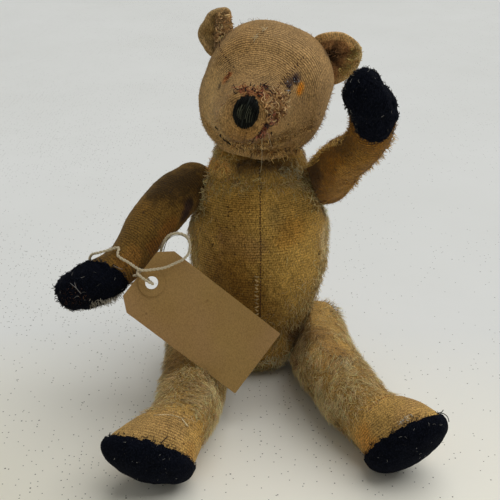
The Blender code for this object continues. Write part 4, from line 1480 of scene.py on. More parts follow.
def ear_colour(side, p, share, a, face):
    """Pale worn cloth at the rim with a painted highlight on it, a right ear darker inside as
    painted shade under its loops, and on the left ear painted shade in its folds, a painted shadow
    deep in its hollow, a painted highlight on its upper rim and a greenish patch.
    """
    inner, outer = EAR_CLOTH[side]
    left = side == "left"
    rim = smooth(0.8, 0.95, share)
    high, over = share * np.sin(a), share * np.cos(a)
    opening = smooth(-0.2, 0.4, face)
    band = smooth(0.88, 0.97, share) if left else smooth(0.3, 0.42, high)
    # The right ear's inner cloth is darker, a painted shade under the loops that lie on it
    colour = towards(outer, inner * (1.0 if left else 0.66), opening * (1 - band))
    mottled = 1 + 0.25 * lumps(p, 4 * MM, 103) + 0.15 * lumps(p, 1.6 * MM, 104)
    colour = towards(colour * mottled[:, None], EAR_RIM_AND_HIGHLIGHT, rim * 0.55)
    if not left:
        return colour
    # Left ear: a painted shadow deep in its hollow, painted shade along its folds and a painted
    # highlight on its upper rim; the greenish patch is the cloth's own colour
    deep = smooth(0.55, 0.2, np.hypot((high - 0.14) * 1.2, (over - 0.05) * 1.2)) * opening
    crease = smooth(0.35, 0.9, -np.sin(a * 6 + 1.3)) * smooth(0.95, 0.4, share) * opening
    edge = smooth(0.72, 0.84, share) * smooth(0.1, 0.5, over + high * 0.5)
    green = smooth(6 * MM, 2 * MM, to_line(p, GREENISH))
    colour = towards(colour, linear(70, 48, 28), crease * 0.7)
    colour = towards(colour, linear(30, 22, 18), deep * 0.85)
    colour = towards(colour, linear(226, 186, 126), edge * 0.8)
    return towards(colour, linear(206, 176, 104), green * 0.35)


def ear_fuzz(side, rng):
    """Short fibres over an ear, longer inside it where the mohair was spared."""
    inner, outer = EAR_CLOTH[side]
    left = side == "left"
    count = 1500 if left else 2200
    share, a = np.sqrt(rng.random(count)), rng.uniform(-0.1, math.pi + 0.1, count)
    face = np.where(rng.random(count) < 0.62, 1.0, -1.0)
    p, n = ear_surface(side, share, a, face)
    swirl = swirls_of(p, 2.6 * MM, 151)
    spared = (face > 0) & (share < 0.88) & ((share * np.sin(a) < 0.36) | left)
    if left:
        spared &= to_line(p, GREENISH) < 4 * MM
    size = np.where(spared, rng.uniform(1.6, 3.8, count), rng.uniform(0.4, 1.0, count)) * MM
    lean = swirl + rng.normal(0, 0.3, (count, 3))
    lines = grow(p, n, lean, rng, size, 4, lift=0.6, curl=0.9, wander=0.3)
    tint = np.where(spared[:, None], inner, outer * 1.2)
    tint = np.where((share > 0.85)[:, None], EAR_RIM_AND_HIGHLIGHT, tint)
    if left:
        near = smooth(5 * MM, 2 * MM, to_line(p, GREENISH))
        tint = towards(tint, linear(240, 216, 134), near)
    tint = tint * rng.uniform(*((0.5, 1.15) if left else (0.3, 0.8)), (count, 1))
    thick = np.where(spared, 0.42, 0.2) * rng.uniform(0.7, 1.2, count) * MM
    return mesh_object(f"{side}_ear_fuzz", *spikes(lines, thick, tint))


def ear_loops(side, rng):
    """Loops of curled mohair inside an ear, and the fringe on the left ear's rim."""
    inner = EAR_CLOTH[side][0]
    left = side == "left"
    loops = Threads(None, rng)
    front = np.array([1.0])
    for _ in range(90 if left else 240):
        spot, turn = rng.uniform(0.1, 0.86), rng.uniform(-1.2, math.pi + 1.2)
        if (rng.random() < 0.6) if left else (spot * math.sin(turn) > 0.34):
            continue
        q, up = (row[0] for row in ear_surface(side, np.array([spot]), np.array([turn]), front))
        way = loops.sideways(up, 0.35)
        tone = inner * (rng.uniform(0.55, 1.0) if left else rng.uniform(0.4, 1.4))
        if left and to_line(q, GREENISH) < 5 * MM:
            tone = linear(240, 216, 130) * rng.uniform(0.6, 1.1)
        thick = 0.34 if left else 0.42
        loops.curly(q - up * 0.2 * MM, way, rng.uniform(2.2, 5.0), thick, tone, 0.75)
    for _ in range(120 if left else 0):
        spot, turn = np.array([rng.uniform(0.88, 1.0)]), np.array([rng.uniform(1.0, 2.9)])
        q = ear_surface(side, spot, turn, front)[0][0]
        if to_line(q, GREENISH) < 6 * MM:
            way = unit(q - ear_axes(side)[0]) + rng.normal(0, 0.5, 3)
            long = rng.uniform(1.0, 2.4)
            tone = linear(252, 226, 166) * rng.uniform(0.6, 1.0)
            loops.curly(q, way, long, 0.26, tone, 0.5, 6)
    return loops.piece(f"{side}_ear_loops")


class TEDDY_OT_ears(BearOperator):
    """Adds the two cupped ears"""

    bl_idname = "teddy.ears"
    bl_label = "Ears"

    def make(self, settings):
        for side in EARS:
            made, a, foot = ball(f"{side}_ear_cloth", 72, 44)
            share = np.sin(foot) ** 0.8
            face = np.where(foot > math.pi / 2, 1.0, -1.0)
            p = ear_surface(side, np.clip(share, 0.001, 1), a, face)[0]
            move_points(made, p)
            lay_maps(made, a, foot / math.pi * 0.04, 0.04, 0.06)
            colour = np.clip(ear_colour(side, p, share, a, face), 0, 1)
            paint(made.data, np.concatenate([colour, np.full((len(p), 1), 0.35)], axis=1))
            pick(made)
            bpy.ops.object.mode_set(mode="EDIT")
            bpy.ops.mesh.select_all(action="SELECT")
            bpy.ops.mesh.normals_make_consistent(inside=False)
            bpy.ops.object.mode_set(mode="OBJECT")
            made.data.shade_smooth()
            cloth = backing_material("Worn ear cloth", 1.2 * MM, 0.0, 0.82)
            finish_piece(made, "head", CLOTH_SLOT, cloth, f"{side}_ear")
            rng = np.random.default_rng(150)
            finish_piece(ear_fuzz(side, rng), "head", CLOTH_SLOT, mohair())
            finish_piece(ear_loops(side, rng), "head", CLOTH_SLOT, mohair())


class TEDDY_OT_pile(BearOperator):
    """Adds what is left of the mohair: short fuzz all over and long curls where it was spared"""

    bl_idname = "teddy.pile"
    bl_label = "Mohair pile"

    def make(self, settings):
        for k, (name, (_, _, short, tufts, long)) in enumerate(COVERS.items()):

            def spared(p, v, n, name=name):
                bare, left = wear(name, p, v, n)
                return 0.07 + 0.6 * (1 - bare) + 0.25 * left

            def deep(p, v, n, name=name):
                return wear(name, p, v, n)[1] ** 1.2

            count = int(short * settings.pile_share)
            shape = {"lift": 0.8, "curl": 0.5, "wander": 0.4}
            made = pile_piece("fuzz", name, count, (0.6, 1.7), 0.23, 2, spared, 200 + k, **shape)
            finish_piece(made, name, CLOTH_SLOT, mohair())

            leg = name.endswith("_leg")
            count = int(tufts * settings.pile_share)
            thick, swirls = (0.25, (12, 1.6, 0.08)) if leg else (0.28, (8, 1.1, 0.22))
            shape = {"lift": 0.5, "spread": 0.28} if leg else {"lift": 0.65, "spread": 0.45}
            made = pile_piece(
                "curls", name, count, long, thick, 3, deep, 300 + k, swirls,
                curl=0.35, flop=0.8, wander=0.08, **shape,
            )
            finish_piece(made, name, CLOTH_SLOT, mohair())


def felt_face(p, n, lift, rough):
    """The under side of a felt pad: lifted off the skin, and uneven."""
    p = p + n * (lift * MM)
    matted = lumps(p, 3.2 * MM, 111) * rough + lumps(p, 1.4 * MM, 113) * rough * 0.5
    return p + n * (matted * MM)[:, None]


def felt_pad(name, base, inside, thick, lift, rough, around=150, rows=170):
    """A felt patch over the part of a skin that lies inside, with a ragged cut edge."""
    form = skin(base)
    made, a, foot = ball(name, around, rows)
    start = form.length * PADS_FROM
    v = start + foot / math.pi * (form.length - start)
    p, n = form.surface(np.clip(v, 1e-6, form.length - 1e-6), a)
    p = felt_face(p, n, lift, rough)
    move_points(made, p)
    outside = inside(p) + lumps(p, 1.5 * MM, 112) * 0.05 > 1
    bm = bmesh.new()
    bm.from_mesh(made.data)
    bm.verts.ensure_lookup_table()
    bmesh.ops.delete(bm, geom=[vert for vert in bm.verts if outside[vert.index]], context="VERTS")
    bm.to_mesh(made.data)
    bm.free()
    solid = made.modifiers.new("thickness", "SOLIDIFY")
    solid.thickness = thick * MM
    solid.offset = 1.0
    pick(made)
    bpy.ops.object.modifier_apply(modifier="thickness")
    made.data.shade_smooth()
    return made


PAW_PADS = {
    # side: middle, half sizes, the way it faces and its up, in millimetres
    "right": ((-74.5, -64, 71.5), (20.5, 12, 10), (0.1, -0.9, 0.35), (0.35, 0.2, 0.9)),
    "left": ((45.5, -66, 154), (12.5, 18, 9), (-0.1, -0.98, 0.15), (-0.35, 0, 0.93)),
}


def pad_region(side):
    place, half, outwards, up = (np.array(v, float) for v in PAW_PADS[side])
    z = unit(outwards)
    x = unit(np.cross(up, z))
    y = np.cross(z, x)

    def inside(p):
        q = (p / MM - place) / (1.0 if side == "right" else 0.93)
        across = q @ y / (half[1] * np.where(q @ y < 0, 1.2 if side == "right" else 1.0, 1.0))
        along, deep = q @ x / (half[0] * 1.05), q @ z / (half[2] * 1.15)
        return np.sqrt(along**2 + across**2 + deep**2)

    return inside


def sole_region(side):
    table = np.array(LIMBS[side + "_leg"], float)
    spine = unit(table[-1, :3] - table[-2, :3])
    outwards = unit(spine + DOWN * table[-1, 6])
    edge = table[-1, :3] - outwards * 2.0

    def inside(p):
        return 1 - ((p / MM - edge) @ outwards) / 20

    return inside


def shag(name, base, inside, count, long, thick, seed, pad, colour, rise):
    """Felt worn to tufts: short fibres over a pad, longer and wilder at its edge."""
    rng = np.random.default_rng(seed)
    form = skin(base)
    v, a = form.scatter(rng, count * 6)
    late = v > form.length * PADS_FROM
    v, a = v[late], a[late]
    p, n = form.surface(v, a)
    p = felt_face(p, n, *pad[1:]) + n * (pad[0] * MM)
    where = inside(p)
    kept = where < 1.0 + rng.normal(0, 0.02, len(p))
    p, n, where = p[kept][:count], n[kept][:count], where[kept][:count]
    swirl = swirls_of(p, 4 * MM, seed)
    edge = smooth(0.9, 0.99, where)
    size = rng.uniform(*long, len(p))
    size = size * np.where(rng.random(len(p)) < 0.1 + 0.15 * edge, 1.5, 1.0) * MM
    lean = swirl + rng.normal(0, 0.5, (len(p), 3))
    lines = grow(p, n, lean, rng, size, 3, lift=rise, curl=0.7, sink=0.5, wander=0.35, flop=0.3)
    lines[..., 2] = np.maximum(lines[..., 2], 0.3 * MM)
    shade = rng.uniform(0.4, 1.5, (len(p), 1)) * np.where(rng.random((len(p), 1)) < 0.07, 3.0, 1.0)
    colours = np.clip(colour(p) * shade, 0, 1)
    return mesh_object(
        name, *spikes(lines, rng.uniform(0.7, 1.2, len(p)) * thick * MM, colours, 1.4)
    )


FELT_BLACK = linear(11, 14, 26)


def felt_black(p):
    return np.broadcast_to(FELT_BLACK, p.shape)


def paw_black(p):
    gap = to_line(p, ((-84.0, -67.0, 69.5), (-80, -67.5, 67.5))) / MM + lumps(p, 2 * MM, 121)
    return towards(FELT_BLACK, linear(84, 58, 40), smooth(5.4, 2.4, gap))


class TEDDY_OT_felt(BearOperator):
    """Adds the black felt paw pads and soles, worn to tufts"""

    bl_idname = "teddy.felt"
    bl_label = "Felt pads"

    def make(self, settings):
        strands = fibre_material("Felt tufts", 0.02, 0.9, 0.08)
        for side in ("right", "left"):
            long, colour = ((0.8, 1.7), paw_black) if side == "right" else ((0.6, 1.2), felt_black)
            paw = 5600, long, 0.36, 401, colour, 0.45
            sole = 4300, (0.5, 1.0), 0.26, 403, felt_black, 0.35
            for body, kind, node, region, pad, look in (
                (side + "_arm", "_paw", "_paw_pad", pad_region(side), (0.8, 0.25, 0.5), paw),
                (side + "_leg", "_sole", "_sole_pad", sole_region(side), (1.1, 0.35, 0.12), sole),
            ):
                made = felt_pad(f"{side}{kind}_felt", body, region, *pad)
                finish_piece(made, body, FELT_SLOT, felt_material(), side + node)
                count, long, thick, seed, colour, rise = look
                name = f"{side}{kind}_tufts"
                tufts = shag(name, body, region, count, long, thick, seed, pad, colour, rise)
                finish_piece(tufts, body, FELT_SLOT, strands)


class TEDDY_OT_nose(BearOperator):
    """Adds the nose, stitched upright in black thread, and what is left of the mouth"""

    bl_idname = "teddy.nose"
    bl_label = "Nose and mouth"

    def make(self, settings):
        form = skin("head")
        rng = np.random.default_rng(11)
        threads = Threads()
        middle = HEAD + (HEAD_FACE * MUZZLE_AHEAD - HEAD_TOP * 3.2) * MM

        def over_muzzle(across, up, share, high):
            """A place above the muzzle's cloth. Sizes in mm, the first two times the share."""
            spot = middle + (HEAD_SIDE * across + HEAD_TOP * up) * share + HEAD_FACE * RAY_START
            hit = form.tree().ray_cast(Vector(spot), Vector(-HEAD_FACE))[0]
            return np.array(hit) + HEAD_FACE * (high * MM)

        def dome(x, t):
            return (1 - x * x * 0.8) * (1 - abs(t) ** 2.6)

        for count, rise in ((20, 1.2), (27, 2.5)):
            for k in range(count):
                x = np.clip((k + 0.5) / count * 2 - 1 + rng.normal(0, 0.012), -0.97, 0.97)
                tall = 6.8 * math.sqrt(1 - x * x) * rng.uniform(0.92, 1.07)
                slant = rng.normal(0, 0.5) * (1 - abs(x))
                line = [
                    over_muzzle(x * 5.3 + slant * t, t * tall, MM, rise * dome(x, t) - 0.1)
                    for t in np.linspace(-1, 1, 13)
                ]
                # A few threads are much paler: worn grey threads, and partly a painted highlight of
                # the threads' sheen
                shade = rng.uniform(0.08, 0.6) * (rng.uniform(4, 9) if rng.random() < 0.16 else 1.0)
                thick = 0.3 * MM * rng.uniform(0.75, 1.2)
                threads.add(smooth_line(line, 2), thick, linear(22, 25, 22) * shade, 6)
        for size, high in ((0.88, -0.2), (0.8, 0.3)):
            ring = [
                over_muzzle(math.cos(t) * 5.8, math.sin(t) * 7.2, size * MM, high)
                for t in np.linspace(0, 2 * math.pi, 45)
            ]
            threads.add(ring, 0.36 * MM, linear(18, 18, 20), 6)
        # Painted highlights: fine pale grey-green lines over the dome stand in for the sheen along
        # the threads
        for _ in range(17):
            x, low, high = rng.uniform(-0.8, 0.8), rng.uniform(-0.9, 0.1), rng.uniform(0.2, 0.9)
            wide = math.sqrt(1 - x * x)
            line = [
                over_muzzle((x + 0.16 * t * t) * 5.0, t * 6.0 * wide, MM, 2.75 * dome(x, t) + 0.1)
                for t in np.linspace(low, high, 7)
            ]
            thick = rng.uniform(0.1, 0.17) * MM
            shine = linear(116, 120, 100) * rng.uniform(0.06, 0.6)
            threads.add(smooth_line(line, 2), thick, shine, 5)
        black = fibre_material("Nose thread", 0.0, 0.5, 0.08)
        threads.finish("nose_threads", "head", THREAD_SLOT, black, "nose_stitching")
        mouth = Threads(form)
        for path, radius in (
            (((-17.5, -30.6, 137.4), (-17.9, -29.8, 135.0)), 0.62),
            (((-16.8, -24.0, 130.8), (-15.2, -22.0, 127.8), (-12.7, -19.4, 124.0)), 0.8),
        ):
            mouth.lay(path, 6, 0.15, radius, linear(28, 24, 24), 6)
        mouth.finish("mouth_stitches", "head", THREAD_SLOT, black)


TAN_THREAD = linear(196, 150, 96)
PALE_THREAD = linear(226, 206, 164)
DARK_THREAD = linear(46, 30, 26)
RED_THREAD = linear(132, 72, 46)
BLACK_THREAD = linear(22, 23, 28)
PLUM_THREAD = linear(52, 34, 46)
ICE_THREAD = linear(206, 214, 224)


class TEDDY_OT_seams(BearOperator):
    """Sews the seams: the belly seam, its mend, the brow's darts and the instep's stitches"""

    bl_idname = "teddy.seams"
    bl_label = "Seams"

    def make(self, settings):
        rng = np.random.default_rng(21)
        sewing = fibre_material("Sewing thread", 0.1, 0.75)
        form = skin("torso")
        belly = Threads(form, rng)
        front = (-19, 111), (-19, 105), (-23, 96), (-27, 85), (-29, 73), (-30, 60)
        front = [(0.4, *place) for place in (*front, (-30.5, 47), (-31, 34), (-31, 22))]
        belly.stitches(front, 1.6, 0.95, 0.18, linear(70, 40, 30), lift=0.15)
        belly.stitches(front, 1.55, 0.9, 0.14, linear(96, 62, 34), across=True, lift=0.1)
        mend = [(-1.2, -30, 60), (-1.3, -30.5, 50), (-1.2, -31, 38), (-1.0, -31, 30)]
        belly.stitches(
            mend, 2.0, 1.7, 0.36, linear(206, 178, 124), across=True, slant=0.6, lift=0.5
        )
        belly.stitches(mend, 2.6, 1.6, 0.16, TAN_THREAD, lift=0.3)
        back = (19, 111), (28, 96), (33, 80), (34, 60), (33, 40), (30, 22)
        back = [(0.0, *place) for place in back]
        belly.stitches(back, 1.7, 1.3, 0.22, DARK_THREAD, lift=0.2)
        belly.stitches(back, 2.6, 2.2, 0.18, TAN_THREAD, across=True, slant=0.5, lift=0.3)
        belly.finish("belly_seam", "torso", THREAD_SLOT, sewing)
        form = skin("head")
        brow = Threads(form, rng)
        for k, path in enumerate(GUSSETS):
            brow.stitches(
                path, 2.0, 0.8, 0.17, linear(84, 54, 36), across=True, lift=0.14, slant=0.5
            )
            if k:
                beside = np.array(path, float)[1:] + (1.9, 0.3, 0.7)
                brow.stitches(beside, 1.6, 0.8, 0.19, linear(74, 48, 34), across=True, lift=0.16)
        chin = [(-6, -58, 141), (-7.5, -51, 134.5), (-8, -40, 127.5), (-6, -28, 121.5)]
        brow.stitches(chin, 1.5, 1.1, 0.17, linear(104, 70, 38), lift=0.15)
        brow.finish("brow_seams", "head", THREAD_SLOT, sewing)
        for side, path, tone in (
            ("right", ((-45.5, -103, 31), (-40, -101.5, 30), (-32.6, -100.8, 26.3)), PALE_THREAD),
            ("left", ((44, -96, 29), (50, -92, 31), (57, -88, 31)), TAN_THREAD),
        ):
            form = skin(side + "_leg")
            foot = Threads(form, rng)
            foot.stitches(path, 1.1, 0.9, 0.19, tone, across=side == "left", lift=0.25)
            foot.stitches(form.seam(0.86, math.pi), 2.0, 1.4, 0.2, linear(120, 86, 48), lift=0.2)
            foot.finish(side + "_leg_stitches", side + "_leg", THREAD_SLOT, sewing)
            form = skin(side + "_arm")
            arm = Threads(form, rng)
            arm.stitches(form.seam(0.72, -math.pi / 2), 1.8, 1.3, 0.2, linear(84, 56, 30), lift=0.2)
            arm.finish(side + "_arm_stitches", side + "_arm", THREAD_SLOT, sewing)


class TEDDY_OT_loose(BearOperator):
    """Adds what wear pulled loose: the eyes' last threads, the torn muzzle, frays and lint"""

    bl_idname = "teddy.loose"
    bl_label = "Loose threads"

    def make(self, settings):
        rng = np.random.default_rng(31)
        ends = fibre_material("Loose thread", 0.1, 0.8)
        form = skin("head")
        face = Threads(form, rng)
        dark, iced = (PLUM_THREAD, DARK_THREAD, PLUM_THREAD), (ICE_THREAD,)
        for place, count in (
            ((15.0, -33.5, 157.5), 26), ((11.9, -36.9, 156.0), 22), ((10.4, -38.5, 153.5), 8)
        ):
            for row in (
                ((place, place), 1.7, count, (0.9, 2.2), 0.2, dark, 0.4, 0.9),
                ((place, place), 1.6, 4, (0.8, 1.6), 0.16, iced, 0.6, 0.5),
            ):
                face.tangle(*row)
        worn = (RED_THREAD, TAN_THREAD, linear(168, 104, 64), DARK_THREAD)
        tans = (TAN_THREAD, linear(226, 192, 138), linear(132, 88, 50), linear(206, 162, 106))
        for row in (
            (
                ((17.3, -33.5, 155.2), (16.6, -34.6, 152.4)), 1.1, 16, (0.9, 2.0), 0.2,
                (linear(232, 150, 34),), 0.3, 0.6,
            ),
            (
                ((-13.6, -32, 159.6), (-16.4, -31.6, 156.8)), 0.9, 12, (0.9, 1.9), 0.18,
                (linear(176, 92, 36), RED_THREAD), 0.3,
            ),
            (
                ((-18.2, -30.3, 155.4), (-17.6, -31.4, 153.2)), 0.8, 9, (0.8, 1.6), 0.18,
                (DARK_THREAD,), 0.4,
            ),
            (
                ((-8.0, -50.0, 158.2), (2.0, -51.0, 156.6)), 2.8, 62, (2.2, 4.6), 0.29, worn, 0.35,
                0.7,
            ),
            (
                ((1.0, -46.5, 158.0), (4.5, -46.5, 156.0)), 1.8, 24, (1.8, 3.4), 0.29,
                (DARK_THREAD, RED_THREAD), 0.3, 0.7,
            ),
            (
                ((7.5, -45.5, 155.5), (7.5, -48.5, 145.0)), 4.2, 105, (3.0, 6.5), 0.26, tans, 0.4,
                0.6,
            ),
            (((2.0, -54.5, 154.0), (4.5, -54.0, 145.0)), 2.2, 50, (2.4, 5.5), 0.27, tans, 0.4, 0.7),
        ):
            face.tangle(*row)
        torn = (
            RED_THREAD, linear(86, 46, 34), DARK_THREAD, linear(196, 138, 104), linear(172, 108, 82)
        )
        for path in zip(GASH_LINE, GASH_LINE[1:]):
            face.tangle(path, 3.4, 62, (2.4, 5.2), 0.3, torn, 0.4, 0.65)
        chin = (linear(226, 188, 118), linear(172, 128, 68), linear(92, 62, 28))
        for row in (
            (
                ((5.7, -46.2, 136.3), (5.2, -47.2, 137.5)), 0.7, 9, (0.8, 1.8), 0.22,
                (DARK_THREAD,), 0.3,
            ),
            (
                ((-17.6, -30.6, 137.2), (-17.9, -29.8, 134.6)), 0.6, 8, (0.9, 1.7), 0.2,
                (DARK_THREAD,), 0.25,
            ),
            (
                ((-16.4, -24.0, 130.6), (-13.0, -19.4, 124.6)), 1.0, 26, (1.0, 2.4), 0.18,
                (DARK_THREAD, linear(120, 82, 44)), 0.25,
            ),
            (((-12, -50, 158), (-16, -46, 142)), 3.5, 40, (1.2, 2.6), 0.15, tans, 0.25),
            (
                ((-15, -36, 127.5), (11, -33, 124.5)), 5.0, 210, (2.0, 4.6), 0.19, chin, 0.7, 0.7,
                (0, -0.05, -0.12), 6,
            ),
            (
                ((-13, -23, 122.5), (17, -18, 122.0)), 3.2, 190, (2.0, 4.6), 0.18, chin, 0.8, 0.5,
                (0, -0.12, -0.25), 5,
            ),
            (
                ((10, -36, 128), (24, -22, 134)), 5.0, 80, (1.2, 2.6), 0.15, chin, 0.7, 0.6,
                (0, 0, 0), 5,
            ),
        ):
            face.tangle(*row)
        for turn in np.radians(rng.uniform(-75, 140, 420)):
            ring = np.array((math.cos(turn), 0.42 * math.sin(turn), 0.9 * math.sin(turn)))
            spot = HEAD + ring * 34 * MM + rng.normal(0, 1.5, 3) * MM
            place, normal = (found[0] for found in form.nearest([spot]))
            way = normal + rng.normal(0, 0.5, 3)
            face.curly(place, way, rng.uniform(0.7, 2.2), 0.09, chin[rng.integers(3)], 0.4, 3)
        for spot in ((-2.0, -22.0, 172.4), (1.6, -17.3, 174.6)):
            place, normal = (found[0] for found in form.nearest([np.array(spot) * MM]))
            for _ in range(9):
                way = normal + rng.normal(0, 0.7, 3)
                face.curly(place, way, rng.uniform(1.4, 3.2), 0.17, PALE_THREAD, 0.25)
        for lean, long in ((0.08, 19), (0.3, 9)):
            root = form.nearest([np.array((2.6 + lean * 3, -53.2, 139.2)) * MM])[0][0]
            face.curly(
                root, (lean, -0.35, -1), long, 0.085, PALE_THREAD, 0.12, 12, (0, 0, -0.3), 0.2
            )
        for spot, way in (
            ((-9, 3, 176), (-0.8, -0.2, 0.6)), ((-4, 2, 178), (-0.4, -0.3, 1)),
            ((-8, 0, 176), (-1, -0.2, 0.2)),
        ):
            root = form.nearest([np.array(spot) * MM])[0][0]
            face.curly(root, way, 4.0, 0.07, linear(120, 104, 84), 0.45, 10)
        face.finish("face_threads", "head", CLOTH_SLOT, ends)

        self.paw_ends(rng, ends)
        form = skin("right_leg")
        foot = Threads(form, rng)
        pale_bit = (-34.0, -101.6, 27.2), (-32.8, -102.6, 25.6), (-31.8, -103.2, 24.2)
        foot.lay(pale_bit, 5, 0.35, 0.34, PALE_THREAD, 6)
        dark_bit = (-41.2, -117.6, 27), (-40.2, -115.6, 27.2), (-39.1, -113.4, 26.8)
        foot.lay(dark_bit, 5, 0.25, 0.2, DARK_THREAD, 5)
        for row in (
            (((-46, -112, 29), (-30, -112, 18)), 6, 30, (0.8, 2.0), 0.13, tans, 0.4),
            (
                ((-34, -70, 30), (-32, -88, 28)), 8, 26, (1.0, 2.4), 0.15,
                (DARK_THREAD, linear(120, 84, 46)), 0.3,
            ),
        ):
            foot.tangle(*row)
        foot.finish("right_leg_threads", "right_leg", CLOTH_SLOT, ends)
        form = skin("left_leg")
        foot = Threads(form, rng)
        root = form.nearest([np.array((76.0, -101.0, 30.5)) * MM])[0][0]
        for lean, long in ((0.0, 7.5), (0.4, 3.5)):
            foot.curly(root, (0.85, -0.3 - lean, 0.5), long, 0.24, BLACK_THREAD, 0.22, 9, taper=0.1)
        for row in (
            (
                ((58.0, -107.0, 29.2), (64.5, -105.5, 31.2)), 1.2, 34, (0.8, 2.2), 0.18,
                (PALE_THREAD, linear(214, 208, 196)), 0.6, 0.9,
            ),
            (
                ((40, -60, 32), (37, -56, 32)), 7, 22, (0.8, 2.0), 0.15,
                (DARK_THREAD, linear(120, 84, 46)), 0.3,
            ),
        ):
            foot.tangle(*row)
        foot.finish("left_leg_threads", "left_leg", CLOTH_SLOT, ends)

        form = skin("torso")
        belly = Threads(form, rng)
        grey = (linear(196, 186, 150), linear(170, 156, 116))
        pale = (linear(246, 226, 172), linear(222, 198, 140), linear(176, 148, 92))
        cream = (linear(255, 242, 200), linear(246, 226, 172))
        for row in (
            (
                ((8, -17, 109), (22, -10, 107)), 3.0, 60, (2.5, 5.5), 0.16, grey, 0.5, 0.5,
                (0.05, 0, -0.12),
            ),
            (
                ((-26, -4, 107), (-14, -14, 110)), 4.0, 120, (2.5, 5.0), 0.17,
                (linear(255, 206, 120), linear(226, 176, 104)), 0.9, 0.5,
            ),
            (((-27, -8, 105), (-33, -16, 86)), 5.0, 170, (2.4, 5.0), 0.17, pale, 0.8, 0.5),
            (((25, -10, 106), (32, -14, 92)), 5.0, 120, (2.4, 4.6), 0.17, pale, 0.8, 0.5),
            (
                ((34, -12, 66), (30, -16, 34)), 7.0, 160, (2.2, 4.6), 0.17, pale, 0.9, 0.4,
                (0, 0, -0.08),
            ),
            (
                ((-16, -24, 86), (-22, -22, 66)), 14, 60, (1.2, 3.2), 0.14,
                (TAN_THREAD, DARK_THREAD), 0.25,
            ),
            # The cream fringe along the left side's outline is pale mohair, made brighter as a
            # painted rim light
            (((36, 3, 88), (33, 1, 34)), 3.0, 210, (1.8, 4.0), 0.14, cream, 1.2, 0.4, (0, 0, 0), 5),
            (
                ((-14, -25, 9), (22, -25, 10)), 4.5, 240, (2.6, 5.4), 0.17, cream, 0.75, 0.45,
                (0, -0.1, -0.06), 5,
            ),
        ):
            belly.tangle(*row)
        for spot in ((28.9, -14.8, 65.2), (-22.2, -20.7, 72.9)):
            belly.tangle((spot, spot), 0.4, 6, (0.8, 1.5), 0.2, (DARK_THREAD,), 0.3)
        belly.finish("torso_threads", "torso", CLOTH_SLOT, ends)
        form = skin("left_arm")
        arm = Threads(form, rng)
        gold = (linear(226, 188, 108), linear(190, 148, 74))
        for line in (((19, -16, 113), (27, -48, 141)), ((48, -18, 92), (64, -58, 136))):
            arm.tangle(line, 3.0, 190, (1.6, 3.4), 0.13, gold, 1.2, 0.4, (0, 0, 0), 5)
        arm.finish("left_arm_threads", "left_arm", CLOTH_SLOT, ends)

    def paw_ends(self, rng, ends):
        """White thread bits, lint and the lining that shows past the felt's edges."""
        white = (linear(214, 212, 206), linear(176, 174, 168))
        for side in ("right", "left"):
            form, region = skin(side + "_arm"), pad_region(side)
            arm = Threads(form, rng)
            v, a = form.scatter(rng, 9000)
            p, n = form.surface(v, a)
            where = region(p + n * 1.2 * MM)
            lint = np.flatnonzero(where < 0.93)[:16]
            for k in lint:
                way = arm.sideways(n[k], 0.2)
                tone = white[rng.integers(2)] * rng.uniform(0.12, 0.5)
                arm.curly(p[k] + n[k] * 1.7 * MM, way, rng.uniform(0.5, 2.6), 0.08, tone, 0.2)
            if side == "right":
                for bit in (
                    ((-84.5, -66, 75), (-81.5, -67, 72.5), (-79.5, -67.5, 70)),
                    ((-82.5, -67, 76), (-81.5, -67, 72.5)), ((-66, -58, 79), (-63, -56.5, 76.5)),
                ):
                    arm.lay(bit, 5, 2.0, 0.075, linear(158, 158, 158), 5)
                grey = (linear(176, 168, 150), linear(120, 112, 98), linear(206, 200, 186))
                arm.tangle(
                    ((-76, -65, 64.5), (-62, -55.5, 61.5)), 1.8, 150, (2.2, 4.6), 0.16, grey, 1.4,
                    0.4, (0.1, -0.05, -0.35),
                )
            edge = np.abs(where - 1.03) < 0.06
            low, grime = edge & (n[:, 2] > 0.1), (0.15, 0.5)
            if side == "right":
                low, grime = edge & (n[:, 2] < -0.25), (0.3, 1.1)
            for k in rng.permutation(np.flatnonzero(low))[:150]:
                way = n[k] + rng.normal(0, 0.4, 3) + (0.2, 0, -0.2)
                tone = linear(168, 160, 142) * rng.uniform(*grime)
                arm.curly(p[k], way, rng.uniform(1.0, 3.4), 0.14, tone, 0.5)
            for k in rng.permutation(np.flatnonzero(edge))[:170]:
                way = n[k] + rng.normal(0, 0.6, 3)
                far = 1.0 if side == "right" and p[k, 0] < -86 * MM else 0.55
                long, tone = rng.uniform(1.2, 3.2) * far, BLACK_THREAD * rng.uniform(0.4, 1.4)
                arm.curly(p[k] + n[k] * 0.8 * MM, way, long, 0.2, tone, 0.5)
            if side == "left":
                arm.tangle(
                    ((34.8, -64, 152), (36.5, -64, 144)), 1.5, 30, (1.5, 4.0), 0.2,
                    (BLACK_THREAD, linear(90, 88, 84)), 0.9,
                )
            arm.finish(side + "_paw_threads", side + "_arm", FELT_SLOT, ends)
            form, region = skin(side + "_leg"), sole_region(side)
            foot = Threads(form, rng)
            v, a = form.scatter(rng, 14000)
            p, n = form.surface(v, a)
            where = region(p)
            for k in np.flatnonzero(where < 0.93)[:22]:
                way = foot.sideways(n[k], 0.15)
                tone = white[rng.integers(2)] * rng.uniform(0.08, 0.5)
                foot.curly(p[k] + n[k] * 1.7 * MM, way, rng.uniform(0.3, 1.8), 0.1, tone, 0.4, 5)
            edge = np.flatnonzero((np.abs(where - 1.03) < 0.065) & (p[:, 2] > 3 * MM))
            for k in rng.permutation(edge)[:520]:
                way = n[k] * 0.35 + rng.normal(0, 0.8, 3)
                tone = BLACK_THREAD * rng.uniform(0.4, 1.6)
                foot.curly(p[k] + n[k] * 0.2 * MM, way, rng.uniform(0.7, 1.8), 0.15, tone, 0.5, 5)
